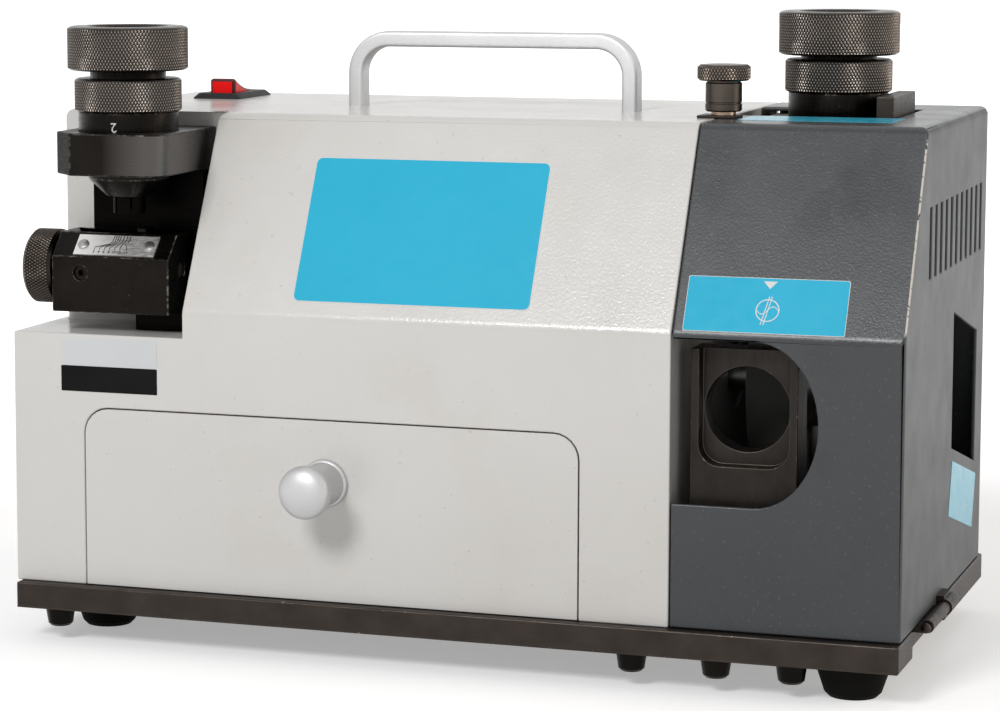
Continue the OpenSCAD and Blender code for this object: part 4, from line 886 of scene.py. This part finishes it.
def coverSign():
    # a pointer above a round cutter seen on end: a triangle, a thin ring, two slanted bars and a wave across
    g = sign
    origin = onSlope(slopePanels["cover_panel"]["x"] + g["right"], slopePanels["cover_panel"]["s"], g["lift"])

    def mark(name, outline, thick):
        slab(name, np.asarray(outline), origin, alongX, slopeUp, thick, paleFilm, "cover")

    mark("sign_pointer", g["pointer"], g["pointerThick"])
    a = np.linspace(0, 2 * np.pi, g["ringTurns"], endpoint=False)
    flat = np.stack([np.stack([r * np.cos(a), r * np.sin(a) + g["middle"]], axis=-1)
                     for r in (g["ringR"], g["ringIn"])])
    low = origin + flat[..., :1] * np.array(alongX, float) + flat[..., 1:] * slopeUp
    points = np.concatenate([low, (low + slopeOut * g["ringThick"])[::-1]])
    putMesh("sign_ring", points.reshape(-1, 3), gridFaces(4, g["ringTurns"], True, True), paleFilm,
            "cover", smooth=False)
    for k, shift in enumerate(g["barShift"]):  # two edges of the tool's shank
        mark(f"sign_bar_{k}", np.array(g["bar"]) + [shift, 0], g["barThick"])
    t = np.linspace(-1, 1, g["waveRows"])  # cutting edge: one wave across the ring
    wave = np.stack([g["waveR"] * t, g["middle"] + g["waveH"] * np.sin(np.pi * t)], axis=-1)
    half = [0, g["waveHalf"]]
    mark("sign_edge", np.concatenate([wave + half, (wave - half)[::-1]]), g["waveThick"])


coverSign()

# plain panels on the front, the cover's top and its right side
flatPanels = {
    "note_pale": dict(w=36.0, h=9.7, r=0.4, at=(-120.4, 4.0, 102.75), up=alongZ, thick=0.10,
                      film=noteFilm, body="machine", slot="white_paint"),
    "note_black": dict(w=36.0, h=8.9, r=0.4, at=(-120.4, 4.0, 93.4), up=alongZ, thick=0.12,
                       film=blackFilm, body="machine", slot="white_paint"),
    "top_strip": dict(w=52.0, h=23.0, r=0.5, at=(113.5, 67.0, 184.0), up=alongY, thick=0.10,
                      film=glossFilm, body="cover", slot="grey_paint"),
}
for name, p in flatPanels.items():
    outline = roundedRect(p["w"], p["h"], p["r"])
    slab(name, outline, p["at"], alongX, p["up"], p["thick"], p["film"], p["body"])
sideSheet = dict(at=(154.6, 117.0, 50.0), thick=0.12,  # with y and z of each corner
                 corners=((89.6, 47.6), (138.7, 34.9), (145.0, 53.4), (95.4, 65.8)))
slab("side_sheet", np.array(sideSheet["corners"]) - sideSheet["at"][1:], sideSheet["at"], alongY, alongZ,
     sideSheet["thick"], glossFilm, "cover")
print("panels laid")

# floor, light and camera

studio = dict(size=6.0, paper=(0.8, 0.8, 0.8, 1), paperRough=0.9, nearGlow=0.36, farGlow=1.0,
              nearR=0.30, farR=0.95, worldLight=0.42)
plainWhite = (1, 1, 1, 1)


def seenRays(tree):  # 1 for rays of the camera, mirrors and glass, 0 for the light that falls on the object
    light = tree.nodes.new("ShaderNodeLightPath")
    seen = light.outputs["Is Camera Ray"]
    for ray in ("Is Glossy Ray", "Is Transmission Ray"):
        seen = joined(tree, "MAXIMUM", seen, light.outputs[ray])
    return seen


def studioFloor():
    # paper that keeps the shadow near the object and fades to plain white further out
    grid = np.linspace(-studio["size"], studio["size"], 3)
    x, y = np.meshgrid(grid, grid, indexing="ij")
    points = np.stack([x, y, np.zeros_like(x)], axis=-1)
    mesh = bpy.data.meshes.new("studio_floor")
    mesh.from_pydata(points.reshape(-1, 3).tolist(), [], gridFaces(3, 3, False, False))
    mat, tree, shader, coord = startFinish("floorPaper")
    shader.inputs["Base Color"].default_value = studio["paper"]
    shader.inputs["Roughness"].default_value = studio["paperRough"]
    reach = vectorNode(tree, "LENGTH", coord)
    glow = remap(tree, reach, studio["nearR"], studio["farR"], studio["nearGlow"], studio["farGlow"])
    shader.inputs["Emission Color"].default_value = plainWhite
    tree.links.new(joined(tree, "MULTIPLY", seenRays(tree), glow), shader.inputs["Emission Strength"])
    mesh.materials.append(mat)
    obj = bpy.data.objects.new("studio_floor", mesh)
    bpy.context.scene.collection.objects.link(obj)


def studioWorld():
    world = bpy.data.worlds.new("studio")
    bpy.context.scene.world = world
    world.use_nodes = True
    tree = world.node_tree
    back = tree.nodes["Background"]
    back.inputs["Color"].default_value = plainWhite
    tree.links.new(remap(tree, seenRays(tree), 0, 1, studio["worldLight"], 1.0), back.inputs["Strength"])


lamps = {  # place and aim in metres, size, power in watts and tint
    "key": dict(at=(-0.26, -1.5, 1.16), aim=(0, 0, 0.1), size=(0.5, 0.45), power=17.5, tint=(1, 1, 1)),
    "side": dict(at=(1.2, 0.2, 0.55), aim=(0.15, 0, 0.1), size=(0.5, 0.7), power=5.0, tint=(1.0, 0.88, 0.76)),
    "top": dict(at=(0.0, 0.25, 1.5), aim=(0, 0, 0.1), size=(1.2, 0.8), power=0.8, tint=(1, 1, 1)),
}


def softBox(name, at, aim, size, power, tint):
    lamp = bpy.data.lights.new(name, "AREA")
    lamp.color = tint
    lamp.shape = "RECTANGLE"
    lamp.size, lamp.size_y = size
    lamp.energy = power
    obj = bpy.data.objects.new(name, lamp)
    bpy.context.scene.collection.objects.link(obj)
    at, aim = np.array(at), np.array(aim)
    back = (at - aim) / np.linalg.norm(at - aim)
    side = np.cross(alongZ, back)
    side /= np.linalg.norm(side)
    turn = np.stack([side, np.cross(back, side), back], axis=-1)
    obj.matrix_world = Matrix.Translation(at.tolist()) @ Matrix(turn.tolist()).to_4x4()


studioFloor()
studioWorld()
for name, lamp in lamps.items():
    softBox(name, **lamp)

shot = dict(lens=116.591, sensor=36.0, shiftX=0.13684, shiftY=-0.03799, clip=(0.01, 50),
            at=(0.33711, -1.07548, 0.25485), yaw=19.95, pitch=7.22, roll=-0.13)


def turnedBy(degrees, axis):
    return Matrix.Rotation(math.radians(degrees), 4, axis)


def shotCamera():
    data = bpy.data.cameras.new("shot")
    data.lens, data.sensor_width, data.sensor_fit = shot["lens"], shot["sensor"], "HORIZONTAL"
    data.shift_x, data.shift_y = shot["shiftX"], shot["shiftY"]
    data.clip_start, data.clip_end = shot["clip"]
    obj = bpy.data.objects.new("shot", data)
    bpy.context.scene.collection.objects.link(obj)
    turn = turnedBy(shot["yaw"], "Z") @ turnedBy(90 - shot["pitch"], "X") @ turnedBy(shot["roll"], "Z")
    obj.matrix_world = Matrix.Translation(shot["at"]) @ turn
    bpy.context.scene.camera = obj


shotCamera()
bpy.context.scene.view_settings.view_transform = "Standard"
print("studio set")
